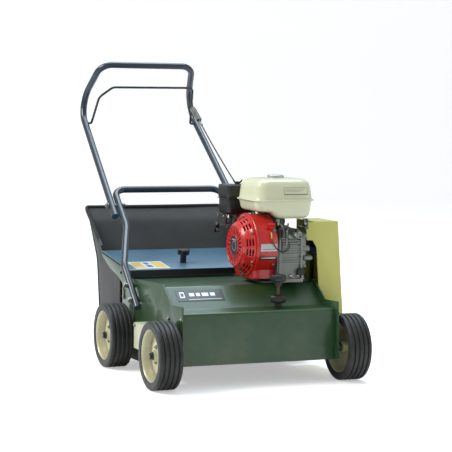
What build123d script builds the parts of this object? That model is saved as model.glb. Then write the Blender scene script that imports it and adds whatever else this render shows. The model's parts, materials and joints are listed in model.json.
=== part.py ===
"""Petrol lawn dethatcher, an assembly of separate pieces in millimetres.

+X is the machine's left-to-right direction seen from the front, +Y points to the rear and +Z up.
The origin lies on the ground under the middle of the machine's bounding box. Side profiles are
drawn on planes whose own origin is on the ground below the front axle.
"""

import os
from math import atan2, cos, hypot, pi, radians, sin, tan

from build123d import *

os.makedirs("parts", exist_ok=True)

# ---- driving dimensions -------------------------------------------------------------------------
deck_width = 496.0
plate_wall = 4.0
sheet_wall = 2.5
guard_wall = 2.0

wheel_radius = 100.0
tyre_width = 72.0
tyre_depth = 24.0
wheel_gap = 14.0
wheelbase = 438.5
axle_radius = 8.0
run_gap = 0.05
face_gap = 0.5

rotor_y = 197.0
rotor_z = 127.0
blade_reach = 78.0
blade_wall = 3.0
blade_count = 17
shaft_radius = 12.5

crank_y = 203.0
crank_z = 393.0
crank_radius = 9.5
engine_left = 10.0
belt_stand = 40.0
pulley_x = deck_width / 2 + belt_stand
pulley_width = 20.0
engine_pulley_radius = 38.0
rotor_pulley_radius = 50.0
belt_width = 11.0
belt_depth = 8.0

tube_radius = 11.0
tube_wall = 2.0
bail_radius = 4.0
cable_radius = 2.5

bag_gap = 6.0
bag_width = deck_width - 2 * bag_gap
bag_wall = 3.0

engine_base_z = 287.0
shelf_z = 221.0
hood_top_z = 281.0

# ---- handle centre lines, measured from the ground below the front axle --------------------------
fold_y = 705.0
leg_stand = 2.0
leg_x = deck_width / 2 + leg_stand + tube_radius
low_leg = [(leg_x, 321.0, 203.0), (leg_x, 449.0, 317.0), (198.0, 616.0, 423.0), (190.0, 772.0, 534.0)]
low_leg_bends = [70.0, 110.0, 40.0]
grip_leg = [(220.0, 668.0, 457.0), (201.5, 1128.7, 809.0), (165.9, 993.7, 949.6)]
grip_bends = [80.0, 48.0]


def mirrored_route(points, bends, shift):
    """A symmetric handle line: up the left side, across, and down the right side."""
    left = [(-x, y + shift, z) for x, y, z in points]
    right = [(x, y + shift, z) for x, y, z in reversed(points)]
    with BuildLine() as route:
        FilletPolyline(*left, *right, radius=bends + bends[::-1])
    return route.line


rear_reach = mirrored_route(grip_leg, grip_bends, 0).bounding_box().max.Y + tube_radius
front_y = -(rear_reach - wheel_radius) / 2

lid_front = (434.0, 301.6)
lid_back = (720.0, 336.0)
knob_x = -38.0
knob_y = 518.0

# ---- shared values worked out from the driving ones ----------------------------------------------
half_deck = deck_width / 2
inner_deck = half_deck - plate_wall
wheel_in = half_deck + wheel_gap
wheel_out = wheel_in + tyre_width
bead_radius = wheel_radius - tyre_depth
rear_axle_y = wheelbase
axle_z = wheel_radius
axle_bore = axle_radius + run_gap
hub_in = wheel_in + 15
hub_out = wheel_out - 12

bolt_radius = 4.0
bolt_bore = bolt_radius + run_gap
leg_bolts = [0.15, 0.5]
leg_start, leg_turn = low_leg[0], low_leg[1]
bolt_places = [(leg_start[1] + t * (leg_turn[1] - leg_start[1]),
                leg_start[2] + t * (leg_turn[2] - leg_start[2])) for t in leg_bolts]


def on_line(start, end, y):
    """The x and z where the line from start to end passes y."""
    share = (y - start[1]) / (end[1] - start[1])
    return start[0] + share * (end[0] - start[0]), start[2] + share * (end[2] - start[2])


fold_low_x, fold_z = on_line(low_leg[2], low_leg[3], fold_y)
fold_grip_x, _ = on_line(grip_leg[0], grip_leg[1], fold_y)
bail_y = 1050.0
bail_leg_x, bail_z = on_line(grip_leg[0], grip_leg[1], bail_y)


def at(x, y, z):
    """A point given from the ground below the front axle, in the machine's frame."""
    return (x, front_y + y, z)


def side_plane(x):
    """A plane across the machine at x, with Y to its right and Z up."""
    return Plane(origin=at(x, 0, 0), x_dir=(0, 1, 0), z_dir=(1, 0, 0))


def radial_plane(y, z):
    """A plane for profiles turned about the X line through (y, z): X to its right, radius up."""
    return Plane(origin=at(0, y, z), x_dir=(1, 0, 0), z_dir=(0, -1, 0))


def x_axis(y, z):
    return Axis(at(0, y, z), (1, 0, 0))


def save(piece, name):
    piece.part.label = name
    export_step(piece.part, f"parts/{name}.step")


def tube_along(route, outer, wall=0.0):
    """A round tube, or a rod if wall is 0, along a route."""
    with BuildPart() as tube:
        with BuildSketch(Plane(origin=route @ 0, z_dir=route % 0)):
            Circle(outer)
            if wall:
                Circle(outer - wall, mode=Mode.SUBTRACT)
        sweep(path=route)
    return tube.part


def disc_stack(y, z, steps):
    """Coaxial discs on the X line through (y, z); each step is (x start, x end, radius)."""
    with BuildPart() as stack:
        for start, end, radius in steps:
            with BuildSketch(side_plane(start)):
                with Locations((y, z)):
                    Circle(radius)
            extrude(amount=end - start)
    return stack.part


# ---- side plates ---------------------------------------------------------------------------------
plate_outline = [
    (-50, 72), (-40, 242), (49, 239), (127, 290), (439, 276.5), (439, 297), (718, 330.5),
    (705, 318), (630, 289), (547, 271), (501, 254), (500, 58), (440, 27), (340, 30),
]
bearing_radius = 31.0
carrier_pivot_y = 122.0
carrier_pivot_z = 96.0
carrier_pin_radius = 6.0
idler_pivot_y = 266.0
idler_pivot_z = 188.0
idler_pin_radius = 6.0
axle_slot = 64.0


def side_plate(side):
    """One side plate; side is -1 for the left and 1 for the right."""
    start = inner_deck if side > 0 else -half_deck
    with BuildPart() as plate:
        with BuildSketch(side_plane(start)):
            with BuildLine():
                Polyline(*plate_outline, close=True)
            make_face()
            with Locations((rotor_y, rotor_z)):
                Circle(bearing_radius + run_gap, mode=Mode.SUBTRACT)
            with Locations((rear_axle_y, axle_z)):
                Circle(axle_bore, mode=Mode.SUBTRACT)
            with Locations((0, axle_z)):
                SlotOverall(axle_slot, 2 * axle_radius + 12, rotation=90, mode=Mode.SUBTRACT)
            with Locations(*bolt_places):
                Circle(bolt_bore, mode=Mode.SUBTRACT)
        extrude(amount=plate_wall)
        pin_start = half_deck if side > 0 else -half_deck - 8
        with BuildSketch(side_plane(pin_start)):
            with Locations((carrier_pivot_y, carrier_pivot_z)):
                Circle(carrier_pin_radius)
        extrude(amount=8)
        if side > 0:
            with BuildSketch(side_plane(half_deck)):
                with Locations((idler_pivot_y, idler_pivot_z)):
                    Circle(idler_pin_radius)
            extrude(amount=pulley_x - half_deck - 14)
    return plate


save(side_plate(-1), "side_plate_left")
save(side_plate(1), "side_plate_right")

# ---- hood: front panel, shelf, slope and engine deck in one folded sheet --------------------------
screw_x = 84.0
screw_y = 36.0
screw_radius = 7.0
hood_route = [(-25, 68), (-25, shelf_z - 1.5), (66, shelf_z - 2), (140, hood_top_z - 1.5), (424, 273)]

with BuildPart() as hood:
    with BuildSketch(side_plane(-inner_deck)):
        with BuildLine():
            FilletPolyline(*hood_route, radius=[6, 8, 14])
        trace(line_width=sheet_wall)
    extrude(amount=2 * inner_deck)
    with BuildSketch(Plane(origin=at(screw_x, screw_y, shelf_z - 20))):
        Circle(screw_radius + 1)
    extrude(amount=40, mode=Mode.SUBTRACT)
save(hood, "hood")

# ---- engine plate, tie bars and rear axle --------------------------------------------------------
engine_x0 = 78.0
engine_x1 = 236.0
engine_y0 = 150.0
engine_y1 = 300.0

with BuildPart() as engine_plate:
    plate_mid = ((engine_x0 + engine_x1) / 2, (engine_y0 + engine_y1) / 2)
    with BuildSketch(Plane(origin=at(*plate_mid, engine_base_z - 5))):
        Rectangle(engine_x1 - engine_x0, engine_y1 - engine_y0)
        with GridLocations(110, 100, 2, 2):
            SlotOverall(28, 9, rotation=90, mode=Mode.SUBTRACT)
    extrude(amount=5)
save(engine_plate, "engine_plate")

tie_bars = [(72, 194, 9), (knob_y, 286, 9), (412, 60, 8)]
with BuildPart() as deck_tie_bars:
    for y, z, radius in tie_bars:
        with BuildSketch(side_plane(-inner_deck)):
            with Locations((y, z)):
                Circle(radius)
                Circle(radius - 2.5, mode=Mode.SUBTRACT)
        extrude(amount=2 * inner_deck)
save(deck_tie_bars, "deck_tie_bars")


def axle(y, collar_in):
    """An axle with the collars that hold the wheels; collar_in is where the inner collars start."""
    tip = hub_out + face_gap + 4
    steps = [(-tip, tip, axle_radius)]
    for side in (-1, 1):
        inner = sorted([side * collar_in, side * (hub_in - face_gap)])
        outer = sorted([side * (hub_out + face_gap), side * tip])
        steps.append((inner[0], inner[1], axle_radius + 5))
        steps.append((outer[0], outer[1], axle_radius + 4))
    return disc_stack(y, axle_z, steps)


carrier_wall = 6.0
carrier_x = half_deck + 1
with BuildPart() as rear_axle:
    add(axle(rear_axle_y, half_deck))
save(rear_axle, "rear_axle")

# ---- front running gear --------------------------------------------------------------------------
with BuildPart() as front_axle:
    add(axle(0, carrier_x + carrier_wall))
save(front_axle, "front_axle")

lug_z = axle_z + 22
lug_half = 4.0
collar_room = 3.0
with BuildPart() as front_axle_carrier:
    for side in (-1, 1):
        start = carrier_x if side > 0 else -carrier_x - carrier_wall
        with BuildSketch(side_plane(start)):
            with BuildLine():
                Polyline((-16, axle_z - 10), (-16, axle_z + 12), (carrier_pivot_y, carrier_pivot_z + 14),
                         (carrier_pivot_y + 14, carrier_pivot_z), (carrier_pivot_y, carrier_pivot_z - 14),
                         close=True)
            make_face()
            with Locations((carrier_pivot_y, carrier_pivot_z)):
                Circle(carrier_pin_radius + run_gap, mode=Mode.SUBTRACT)
            with Locations((0, axle_z)):
                Circle(axle_radius, mode=Mode.SUBTRACT)
        extrude(amount=carrier_wall)
    with BuildSketch(side_plane(screw_x - 14)):
        with BuildLine():
            Polyline((-14, axle_z - 12), (-14, axle_z + 12), (18, lug_z + lug_half), (52, lug_z + lug_half),
                     (52, lug_z - lug_half), (20, lug_z - lug_half), (10, axle_z - 12), close=True)
        make_face()
        with Locations((0, axle_z)):
            Circle(axle_radius, mode=Mode.SUBTRACT)
    extrude(amount=28)
    with BuildSketch(Plane(origin=at(screw_x, screw_y, lug_z - 2 * lug_half))):
        SlotOverall(26, 2 * screw_radius, rotation=90)
    extrude(amount=4 * lug_half, mode=Mode.SUBTRACT)
save(front_axle_carrier, "front_axle_carrier")

nut_low = shelf_z
nut_hub = 18.0
knob_high = 20.0
knob_radius = 26.0
screw_top = 290.0
lock_low = 286.0

screw_core = screw_radius - 2
collar_start = lug_half + collar_room
with BuildPart() as depth_screw:
    with BuildSketch(Plane(origin=at(screw_x, screw_y, lug_z - collar_start - 4))):
        Circle(screw_core)
    extrude(amount=screw_top + 16 - lug_z)
    for low in (lug_z - collar_start - 4, lug_z + collar_start):
        with BuildSketch(Plane(origin=at(screw_x, screw_y, low))):
            Circle(screw_radius + 2)
        extrude(amount=4)
save(depth_screw, "depth_screw")


def hand_knob(low, hub_length, hub_radius, bore, lobes=8):
    """A lobed hand knob on the depth screw: a hub with a scalloped head above it."""
    with BuildPart() as knob:
        with BuildSketch(Plane(origin=at(screw_x, screw_y, low))):
            Circle(hub_radius)
        extrude(amount=hub_length + 1)
        with BuildSketch(Plane(origin=at(screw_x, screw_y, low + hub_length))):
            Circle(knob_radius)
            with PolarLocations(knob_radius + 2, lobes):
                Circle(5, mode=Mode.SUBTRACT)
        extrude(amount=knob_high)
        with BuildSketch(Plane(origin=at(screw_x, screw_y, low - 1))):
            Circle(bore)
        extrude(amount=hub_length + knob_high + 2, mode=Mode.SUBTRACT)
    return knob


save(hand_knob(nut_low, nut_hub, 12, screw_core + run_gap), "depth_nut_knob")
save(hand_knob(lock_low, 14, 11, screw_core + run_gap), "lock_knob")


# ---- wheels --------------------------------------------------------------------------------------
groove_width = 3.0
groove_depth = 5.0
rim_wall = 3.0


def tyre(side, y):
    """A solid ribbed tyre with five ribs between four grooves."""
    middle = side * (wheel_in + wheel_out) / 2
    with BuildPart() as piece:
        with BuildSketch(radial_plane(y, axle_z)) as section:
            with Locations((middle, wheel_radius - tyre_depth / 2)):
                Rectangle(tyre_width, tyre_depth)
            fillet(section.vertices().group_by(Axis.Y)[-1], radius=9)
            for step in (-1.5, -0.5, 0.5, 1.5):
                with Locations((middle + step * tyre_width / 5, wheel_radius)):
                    Rectangle(groove_width, 2 * groove_depth, mode=Mode.SUBTRACT)
        revolve(axis=x_axis(y, axle_z))
    return piece


def rim(side, y):
    """A dished steel rim: barrel, disc and hub tube."""
    def span(start, end):
        return side * (wheel_in + (start + end) / 2), end - start

    with BuildPart() as piece:
        with BuildSketch(radial_plane(y, axle_z)) as section:
            middle, width = span(3, tyre_width - 3)
            with Locations((middle, bead_radius - rim_wall / 2)):
                Rectangle(width, rim_wall)
            middle, width = span(44, 44 + rim_wall)
            with Locations((middle, (bead_radius + axle_bore) / 2 - 1)):
                Rectangle(width, bead_radius - axle_bore - 2)
            middle, width = span(15, tyre_width - 12)
            with Locations((middle, axle_bore + 3.5)):
                Rectangle(width, 7)
        revolve(axis=x_axis(y, axle_z))
        with BuildSketch(side_plane(side * (wheel_in + 40))):
            with Locations((y, axle_z)):
                with PolarLocations(34, 4, start_angle=45):
                    Circle(4.5)
        extrude(amount=side * 12, mode=Mode.SUBTRACT)
    return piece


for corner, side, y in (("front_left", -1, 0), ("front_right", 1, 0),
                        ("rear_left", -1, rear_axle_y), ("rear_right", 1, rear_axle_y)):
    save(tyre(side, y), f"tyre_{corner}")
    save(rim(side, y), f"rim_{corner}")

# ---- rotor ---------------------------------------------------------------------------------------
shaft_end = pulley_x + pulley_width / 2 + 4
blade_pitch = 26.0
blade_x = [(i - (blade_count - 1) / 2) * blade_pitch for i in range(blade_count)]

with BuildPart() as rotor_shaft:
    add(disc_stack(rotor_y, rotor_z, [(-half_deck - 14, shaft_end, shaft_radius)]))
    spacer_rooms = [(x + blade_wall / 2, x + blade_pitch - blade_wall / 2) for x in blade_x[:-1]]
    add(disc_stack(rotor_y, rotor_z, [(start, end, shaft_radius + 6) for start, end in spacer_rooms]))
save(rotor_shaft, "rotor_shaft")

with BuildPart() as rotor_blades:
    for i, x in enumerate(blade_x):
        with BuildSketch(side_plane(x - blade_wall / 2)):
            with Locations((rotor_y, rotor_z)):
                Circle(34)
                with PolarLocations(0, 4, start_angle=i * 360 / blade_count):
                    Polygon((20, -13), (blade_reach - 22, -9), (blade_reach - 4, 2), (blade_reach - 16, 13),
                            (20, 16), align=None)
                Circle(shaft_radius, mode=Mode.SUBTRACT)
        extrude(amount=blade_wall)
save(rotor_blades, "rotor_blades")


def pulley(y, z, radius, bore, groove):
    """A belt pulley with a groove as wide as the belt and its side gaps."""
    low = pulley_x - pulley_width / 2
    high = pulley_x + pulley_width / 2
    side_gap = belt_width / 2 + 0.5
    with BuildPart() as wheel:
        add(disc_stack(y, z, [(low, pulley_x - side_gap, radius), (pulley_x - side_gap - 1, high - 3, groove),
                              (pulley_x + side_gap, high, radius)]))
        with BuildSketch(side_plane(low - 1)):
            with Locations((y, z)):
                Circle(bore)
        extrude(amount=pulley_width + 2, mode=Mode.SUBTRACT)
    return wheel


groove_drop = belt_depth + 0.4
rotor_groove = rotor_pulley_radius - groove_drop
engine_groove = engine_pulley_radius - groove_drop
save(pulley(rotor_y, rotor_z, rotor_pulley_radius, shaft_radius, rotor_groove), "rotor_pulley")
save(pulley(crank_y, crank_z, engine_pulley_radius, crank_radius, engine_groove), "engine_pulley")

with BuildPart() as rotor_bearings:
    for side in (-1, 1):
        start = inner_deck - 5 if side > 0 else -half_deck
        with BuildSketch(side_plane(start)):
            with Locations((rotor_y, rotor_z)):
                Circle(bearing_radius)
                Circle(shaft_radius + run_gap, mode=Mode.SUBTRACT)
        extrude(amount=plate_wall + 5)
        with BuildSketch(side_plane(start if side > 0 else start + plate_wall)):
            with Locations((rotor_y, rotor_z)):
                RectangleRounded(2 * bearing_radius + 14, 2 * bearing_radius + 8, 14)
                Circle(bearing_radius, mode=Mode.SUBTRACT)
        extrude(amount=5)
save(rotor_bearings, "rotor_bearings")

# ---- cover of the left bearing -------------------------------------------------------------------
cover_y = (152.0, 240.0)
cover_z = (88.0, 166.0)
cover_reach = 50.0

with BuildPart() as bearing_cover:
    with BuildSketch(side_plane(-half_deck)):
        with Locations(((cover_y[0] + cover_y[1]) / 2, (cover_z[0] + cover_z[1]) / 2)):
            Rectangle(cover_y[1] - cover_y[0], cover_z[1] - cover_z[0])
    extrude(amount=-cover_reach)
    with BuildSketch(side_plane(-half_deck)):
        with Locations(((cover_y[0] + cover_y[1]) / 2, (cover_z[0] + cover_z[1]) / 2)):
            Rectangle(cover_y[1] - cover_y[0] - 4, cover_z[1] - cover_z[0] - 4)
    extrude(amount=-cover_reach + 2, mode=Mode.SUBTRACT)
save(bearing_cover, "bearing_cover")

# ---- belt guard: a tray open towards the deck, with a leaning front plate cut round the engine ----
guard_in = half_deck + 9
guard_out = wheel_out
guard_foot = (108.0, 182.0)
guard_head = (153.0, 466.0)
guard_rear = 292.0
guard_low = 52.0
lean = atan2(guard_head[0] - guard_foot[0], guard_head[1] - guard_foot[1])
front_plane = Plane(origin=at(0, *guard_foot), x_dir=(1, 0, 0), z_dir=(0, -cos(lean), sin(lean)))
front_high = hypot(guard_head[0] - guard_foot[0], guard_head[1] - guard_foot[1])
cable_route = [(186.0, 957.7, 754.7), (187.0, 679.6, 567.9), (274.0, guard_rear + 10, 276.0)]
cable_turn = Vector(*at(*cable_route[1]))
cable_foot = Vector(*at(*cable_route[2]))

with BuildPart() as belt_guard:
    with BuildSketch(side_plane(guard_in)):
        with BuildLine():
            Polyline(guard_foot, guard_head, (guard_rear, guard_head[1]), (guard_rear, guard_low),
                     (guard_foot[0], guard_low), close=True)
        make_face()
    extrude(amount=guard_out - guard_in)
    with BuildSketch(side_plane(guard_in)):
        with BuildLine():
            Polyline(guard_foot, guard_head, (guard_rear, guard_head[1]), (guard_rear, guard_low),
                     (guard_foot[0], guard_low), close=True)
        make_face()
        offset(amount=-guard_wall)
    extrude(amount=guard_out - guard_in - guard_wall, mode=Mode.SUBTRACT)
    with BuildSketch(front_plane):
        with BuildLine():
            Polyline((221, front_high), (226, front_high - 24), (225, front_high - 56),
                     (246, front_high - 58), (272, front_high - 112), (260, front_high - 130),
                     (234, front_high - 131), (237, front_high - 168), (guard_in + 1, front_high - 170),
                     (guard_in + 1, front_high), close=True)
        make_face()
    extrude(amount=-guard_wall)
    with BuildSketch(Plane(origin=cable_foot, z_dir=cable_foot - cable_turn)):
        Circle(7)
    extrude(amount=16)
save(belt_guard, "belt_guard")

# ---- drive belt and idler ------------------------------------------------------------------------
with BuildPart() as drive_belt:
    for grow, mode in ((0.0, Mode.ADD), (belt_depth, Mode.SUBTRACT)):
        with BuildSketch(side_plane(pulley_x - belt_width / 2)):
            with BuildLine():
                CenterArc((crank_y, crank_z), engine_pulley_radius - grow, 0, 180)
                CenterArc((rotor_y, rotor_z), rotor_pulley_radius - grow, 180, 180)
            make_hull()
        extrude(amount=belt_width, mode=mode)
save(drive_belt, "drive_belt")

idler_wheel_y = 266.6
idler_wheel_z = 258.0
idler_radius = 15.0
idler_bore = 5.0
arm_x = half_deck + 4
with BuildPart() as idler_arm:
    with BuildSketch(side_plane(arm_x)):
        with Locations(((idler_pivot_y + idler_wheel_y) / 2, (idler_pivot_z + idler_wheel_z) / 2)):
            SlotOverall(idler_wheel_z - idler_pivot_z + 22, 22, rotation=90)
        with Locations((idler_pivot_y, idler_pivot_z)):
            Circle(idler_pin_radius + run_gap, mode=Mode.SUBTRACT)
    extrude(amount=6)
    with BuildSketch(side_plane(arm_x + 6)):
        with Locations((idler_wheel_y, idler_wheel_z)):
            Circle(idler_bore)
    extrude(amount=pulley_x + 12 - arm_x - 6)
save(idler_arm, "idler_arm")

with BuildPart() as idler_pulley:
    with BuildSketch(side_plane(pulley_x - 8)):
        with Locations((idler_wheel_y, idler_wheel_z)):
            Circle(idler_radius)
            Circle(idler_bore + run_gap, mode=Mode.SUBTRACT)
    extrude(amount=16)
save(idler_pulley, "idler_pulley")

# ---- engine --------------------------------------------------------------------------------------
fan_in = 113.0
fan_out = 45.0
recoil_radius = 92.0
fan_radius = 97.0
case_right = 216.0
cover_wall = 20.0
bore_tilt = 25.0
bore_x = 172.0
case_front = 112.0
case_rear = 292.0

with BuildPart() as crankshaft:
    add(disc_stack(crank_y, crank_z, [(36, pulley_x + 14, crank_radius), (130, 142, 40), (158, 170, 40)]))
save(crankshaft, "crankshaft")

crank_room = 46.0
with BuildPart() as crankcase:
    with BuildSketch(side_plane(fan_in + 1)):
        with BuildLine():
            Polyline((case_front, engine_base_z), (case_front, crank_z + 8), (crank_y - 40, crank_z + 46),
                     (crank_y + 30, crank_z + 58), (case_rear - 10, crank_z + 20),
                     (case_rear, engine_base_z), close=True)
        make_face()
    extrude(amount=case_right - cover_wall - fan_in - 1)
    with BuildSketch(side_plane(fan_in + 9)):
        with Locations((crank_y, crank_z)):
            Circle(crank_room)
    extrude(amount=case_right, mode=Mode.SUBTRACT)
    with BuildSketch(side_plane(fan_in)):
        with Locations((crank_y, crank_z)):
            Circle(crank_radius + 0.5)
    extrude(amount=20, mode=Mode.SUBTRACT)
    with BuildSketch(Plane(origin=at((fan_in + case_right - cover_wall) / 2 + 4, 205, engine_base_z))):
        Rectangle(case_right - cover_wall - fan_in - 10, 206)
        with GridLocations(70, 190, 2, 2):
            SlotOverall(14, 8.5, mode=Mode.SUBTRACT)
    extrude(amount=10)
save(crankcase, "crankcase")

side_cover_y = 205.0
with BuildPart() as side_cover:
    with BuildSketch(side_plane(case_right - cover_wall)):
        with Locations((side_cover_y, crank_z - 16)):
            RectangleRounded(case_rear - case_front - 14, 132, 40)
        with Locations((crank_y, crank_z)):
            Circle(crank_radius + 0.5, mode=Mode.SUBTRACT)
    extrude(amount=cover_wall - 4)
    with BuildSketch(side_plane(case_right - 4)):
        with Locations((crank_y, crank_z)):
            Circle(34)
            Circle(crank_radius + 0.5, mode=Mode.SUBTRACT)
        with Locations((side_cover_y, crank_z - 16)):
            with GridLocations(120, 92, 2, 2):
                Circle(6.5)
    extrude(amount=10)
    with BuildSketch(side_plane(case_right - 4)):
        with Locations((crank_y, crank_z)):
            Circle(30)
            Circle(crank_radius + 0.5, mode=Mode.SUBTRACT)
    extrude(amount=22)
save(side_cover, "side_cover")

bore_plane = Plane(origin=at(bore_x, crank_y, crank_z), x_dir=(1, 0, 0),
                   z_dir=(0, cos(radians(bore_tilt)), sin(radians(bore_tilt))))
head_start = 94.0
fin_pitch = 8.0
with BuildPart() as cylinder_head:
    with BuildSketch(bore_plane.offset(head_start - 3)):
        Circle(30)
    extrude(amount=48)
    for i in range(5):
        with BuildSketch(bore_plane.offset(head_start + i * fin_pitch)):
            RectangleRounded(78, 78, 10)
        extrude(amount=3)
    with BuildSketch(bore_plane.offset(head_start + 40)):
        RectangleRounded(66, 50, 12)
    extrude(amount=22)
save(cylinder_head, "cylinder_head")

with BuildPart() as fan_cover:
    with BuildSketch(side_plane(fan_out)):
        with Locations((crank_y, crank_z)):
            Circle(fan_radius)
        with Locations((crank_y + 4, crank_z - fan_radius + 22)):
            Rectangle(2 * fan_radius - 50, 44)
    extrude(amount=fan_in - fan_out)
    with BuildSketch(side_plane(fan_out + 3)):
        with Locations((crank_y, crank_z)):
            Circle(fan_radius - 3)
        with Locations((crank_y + 4, crank_z - fan_radius + 24)):
            Rectangle(2 * fan_radius - 56, 42)
    extrude(amount=fan_in - fan_out, mode=Mode.SUBTRACT)
    with BuildSketch(side_plane(fan_out - 1)):
        with Locations((crank_y, crank_z)):
            Circle(recoil_radius - 6)
    extrude(amount=10, mode=Mode.SUBTRACT)
save(fan_cover, "fan_cover")

face_radius = 62.0
side_slots = [turn + step for turn in range(0, 360, 60) for step in (-11, 11)]
with BuildPart() as recoil_cover:
    with BuildSketch(radial_plane(crank_y, crank_z)):
        with BuildLine():
            Polyline((fan_out, recoil_radius - 12), (fan_out, recoil_radius), (fan_out - 4, recoil_radius),
                     (fan_out - 6, recoil_radius - 6), (engine_left + 7, 71), (engine_left, face_radius),
                     (engine_left, 0), (engine_left + 3, 0), (engine_left + 3, face_radius - 1),
                     (engine_left + 9, 67), (fan_out - 8, recoil_radius - 10),
                     (fan_out - 6, recoil_radius - 12), close=True)
        make_face()
    revolve(axis=x_axis(crank_y, crank_z))
    with BuildSketch(side_plane(engine_left - 1)):
        with Locations((crank_y, crank_z)):
            with PolarLocations(45, 24):
                SlotOverall(24, 4.5)
    extrude(amount=9, mode=Mode.SUBTRACT)
    for turn in side_slots:
        outward = (0, cos(radians(turn)), sin(radians(turn)))
        with BuildSketch(Plane(origin=at(fan_out - 15, crank_y, crank_z), x_dir=(1, 0, 0), z_dir=outward)):
            with GridLocations(7.5, 1, 3, 1):
                RectangleRounded(4.5, 22, 2)
        extrude(amount=recoil_radius, mode=Mode.SUBTRACT)
save(recoil_cover, "recoil_cover")

with BuildPart() as flywheel_fan:
    add(disc_stack(crank_y, crank_z, [(70, 96, 84), (52, 70, 26)]))
    for i in range(16):
        turn = i * 22.5
        with BuildSketch(side_plane(52)):
            with Locations((crank_y, crank_z)):
                with PolarLocations(62, 1, start_angle=turn):
                    Rectangle(36, 3, rotation=18)
        extrude(amount=18)
    with BuildSketch(side_plane(50)):
        with Locations((crank_y, crank_z)):
            Circle(crank_radius)
    extrude(amount=50, mode=Mode.SUBTRACT)
save(flywheel_fan, "flywheel_fan")

grip_plane = Plane(origin=at(-5, 310, 438), x_dir=(1, 0, 0), z_dir=(0, 0.8, 0.6))
with BuildPart() as recoil_grip:
    with BuildSketch(grip_plane):
        SlotOverall(34, 13, rotation=90)
    extrude(amount=12)
    with BuildSketch(grip_plane):
        Circle(4)
    extrude(amount=-14)
save(recoil_grip, "recoil_grip")

# ---- fuel tank and what holds it -----------------------------------------------------------------
tank_x = (44.0, 244.0)
tank_y = (112.0, 297.0)
seam_z = 534.0
tank_top = 600.0
tank_shelf = 500.0
tank_low = 477.0
sump_left = 122.0
tank_mid = ((tank_x[0] + tank_x[1]) / 2, (tank_y[0] + tank_y[1]) / 2)
tank_wide = tank_x[1] - tank_x[0]
tank_deep = tank_y[1] - tank_y[0]

tank_wall = 2.0
sump_mid = (sump_left + tank_x[1] - 10) / 2
sump_wide = tank_x[1] - 10 - sump_left
dome_low = tank_top - 16


def tank_layer(middle, z, wide, deep, corner):
    with BuildSketch(Plane(origin=at(*middle, z))) as layer:
        RectangleRounded(wide, deep, corner)
    return layer.sketch


def tank_shape(inset):
    """The tank's body, with every face moved inwards by inset."""
    def shell_layer(middle, z, wide, deep, corner):
        return tank_layer(middle, z, wide - 2 * inset, deep - 2 * inset, corner - inset)

    with BuildPart() as shape:
        for low, high, shrink_low, shrink_high in ((seam_z, dome_low, 5, 9),
                                                   (seam_z, tank_shelf + inset, 5, 10)):
            low_layer = shell_layer(tank_mid, low, tank_wide - 2 * shrink_low,
                                    tank_deep - 2 * shrink_low, 32)
            high_layer = shell_layer(tank_mid, high, tank_wide - 2 * shrink_high,
                                     tank_deep - 2 * shrink_high, 30)
            loft([low_layer, high_layer])
        loft([shell_layer(tank_mid, dome_low, tank_wide - 18, tank_deep - 18, 30),
              shell_layer(tank_mid, tank_top - inset, tank_wide - 56, tank_deep - 56, 26)])
        sump_place = (sump_mid, tank_mid[1])
        loft([shell_layer(sump_place, tank_shelf + inset + 1, sump_wide, tank_deep - 20, 26),
              shell_layer(sump_place, tank_low + inset, sump_wide - 16, tank_deep - 36, 20)])
    return shape.part


with BuildPart() as fuel_tank:
    add(tank_shape(0))
    with BuildSketch(Plane(origin=at(*tank_mid, seam_z - 2))):
        RectangleRounded(tank_wide, tank_deep, 34)
    extrude(amount=4)
    add(tank_shape(tank_wall), mode=Mode.SUBTRACT)
    with BuildSketch(Plane(origin=at(*tank_mid, tank_top - 6 - tank_wall))):
        Circle(27 + tank_wall)
    extrude(amount=tank_wall + 4)
    with BuildSketch(Plane(origin=at(*tank_mid, tank_top - 6))):
        Circle(27)
    extrude(amount=12, mode=Mode.SUBTRACT)
save(fuel_tank, "fuel_tank")

with BuildPart() as fuel_cap:
    with BuildSketch(Plane(origin=at(*tank_mid, tank_top - 6 + face_gap))):
        Circle(25)
        with PolarLocations(27, 12):
            Circle(2.5, mode=Mode.SUBTRACT)
    extrude(amount=14)
save(fuel_cap, "fuel_cap")

stay_x = (134.0, 216.0)
with BuildPart() as tank_stays:
    for x in stay_x:
        with BuildSketch(Plane(origin=at(x, tank_y[0] + 22, tank_low))):
            Circle(7)
        extrude(amount=-26)
        with BuildSketch(side_plane(x - 6)):
            with BuildLine():
                Polyline((tank_y[0] + 14, tank_low - 30), (tank_y[0] + 14, tank_low - 26),
                         (tank_y[0] + 34, tank_low - 26), (crank_y - 40, crank_z + 56),
                         (crank_y - 20, crank_z + 60), (crank_y - 20, crank_z + 56),
                         (crank_y - 38, crank_z + 52), (tank_y[0] + 36, tank_low - 30), close=True)
            make_face()
        extrude(amount=12)
save(tank_stays, "tank_stays")

# ---- air cleaner, carburettor and silencer -------------------------------------------------------
cleaner_x = (28.0, 128.0)
cleaner_y = (302.0, 394.0)
cleaner_low = 484.0
cleaner_seam = 530.0
cleaner_top = 572.0
cleaner_mid = (sum(cleaner_x) / 2, sum(cleaner_y) / 2)


def cleaner_box(low, high, shrink):
    with BuildPart() as box:
        with BuildSketch(Plane(origin=at(*cleaner_mid, low))):
            RectangleRounded(cleaner_x[1] - cleaner_x[0] - shrink, cleaner_y[1] - cleaner_y[0] - shrink, 12)
        extrude(amount=high - low)
    return box


save(cleaner_box(cleaner_low, cleaner_seam, 4), "air_cleaner_base")
save(cleaner_box(cleaner_seam, cleaner_top, 0), "air_cleaner_cover")

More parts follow.
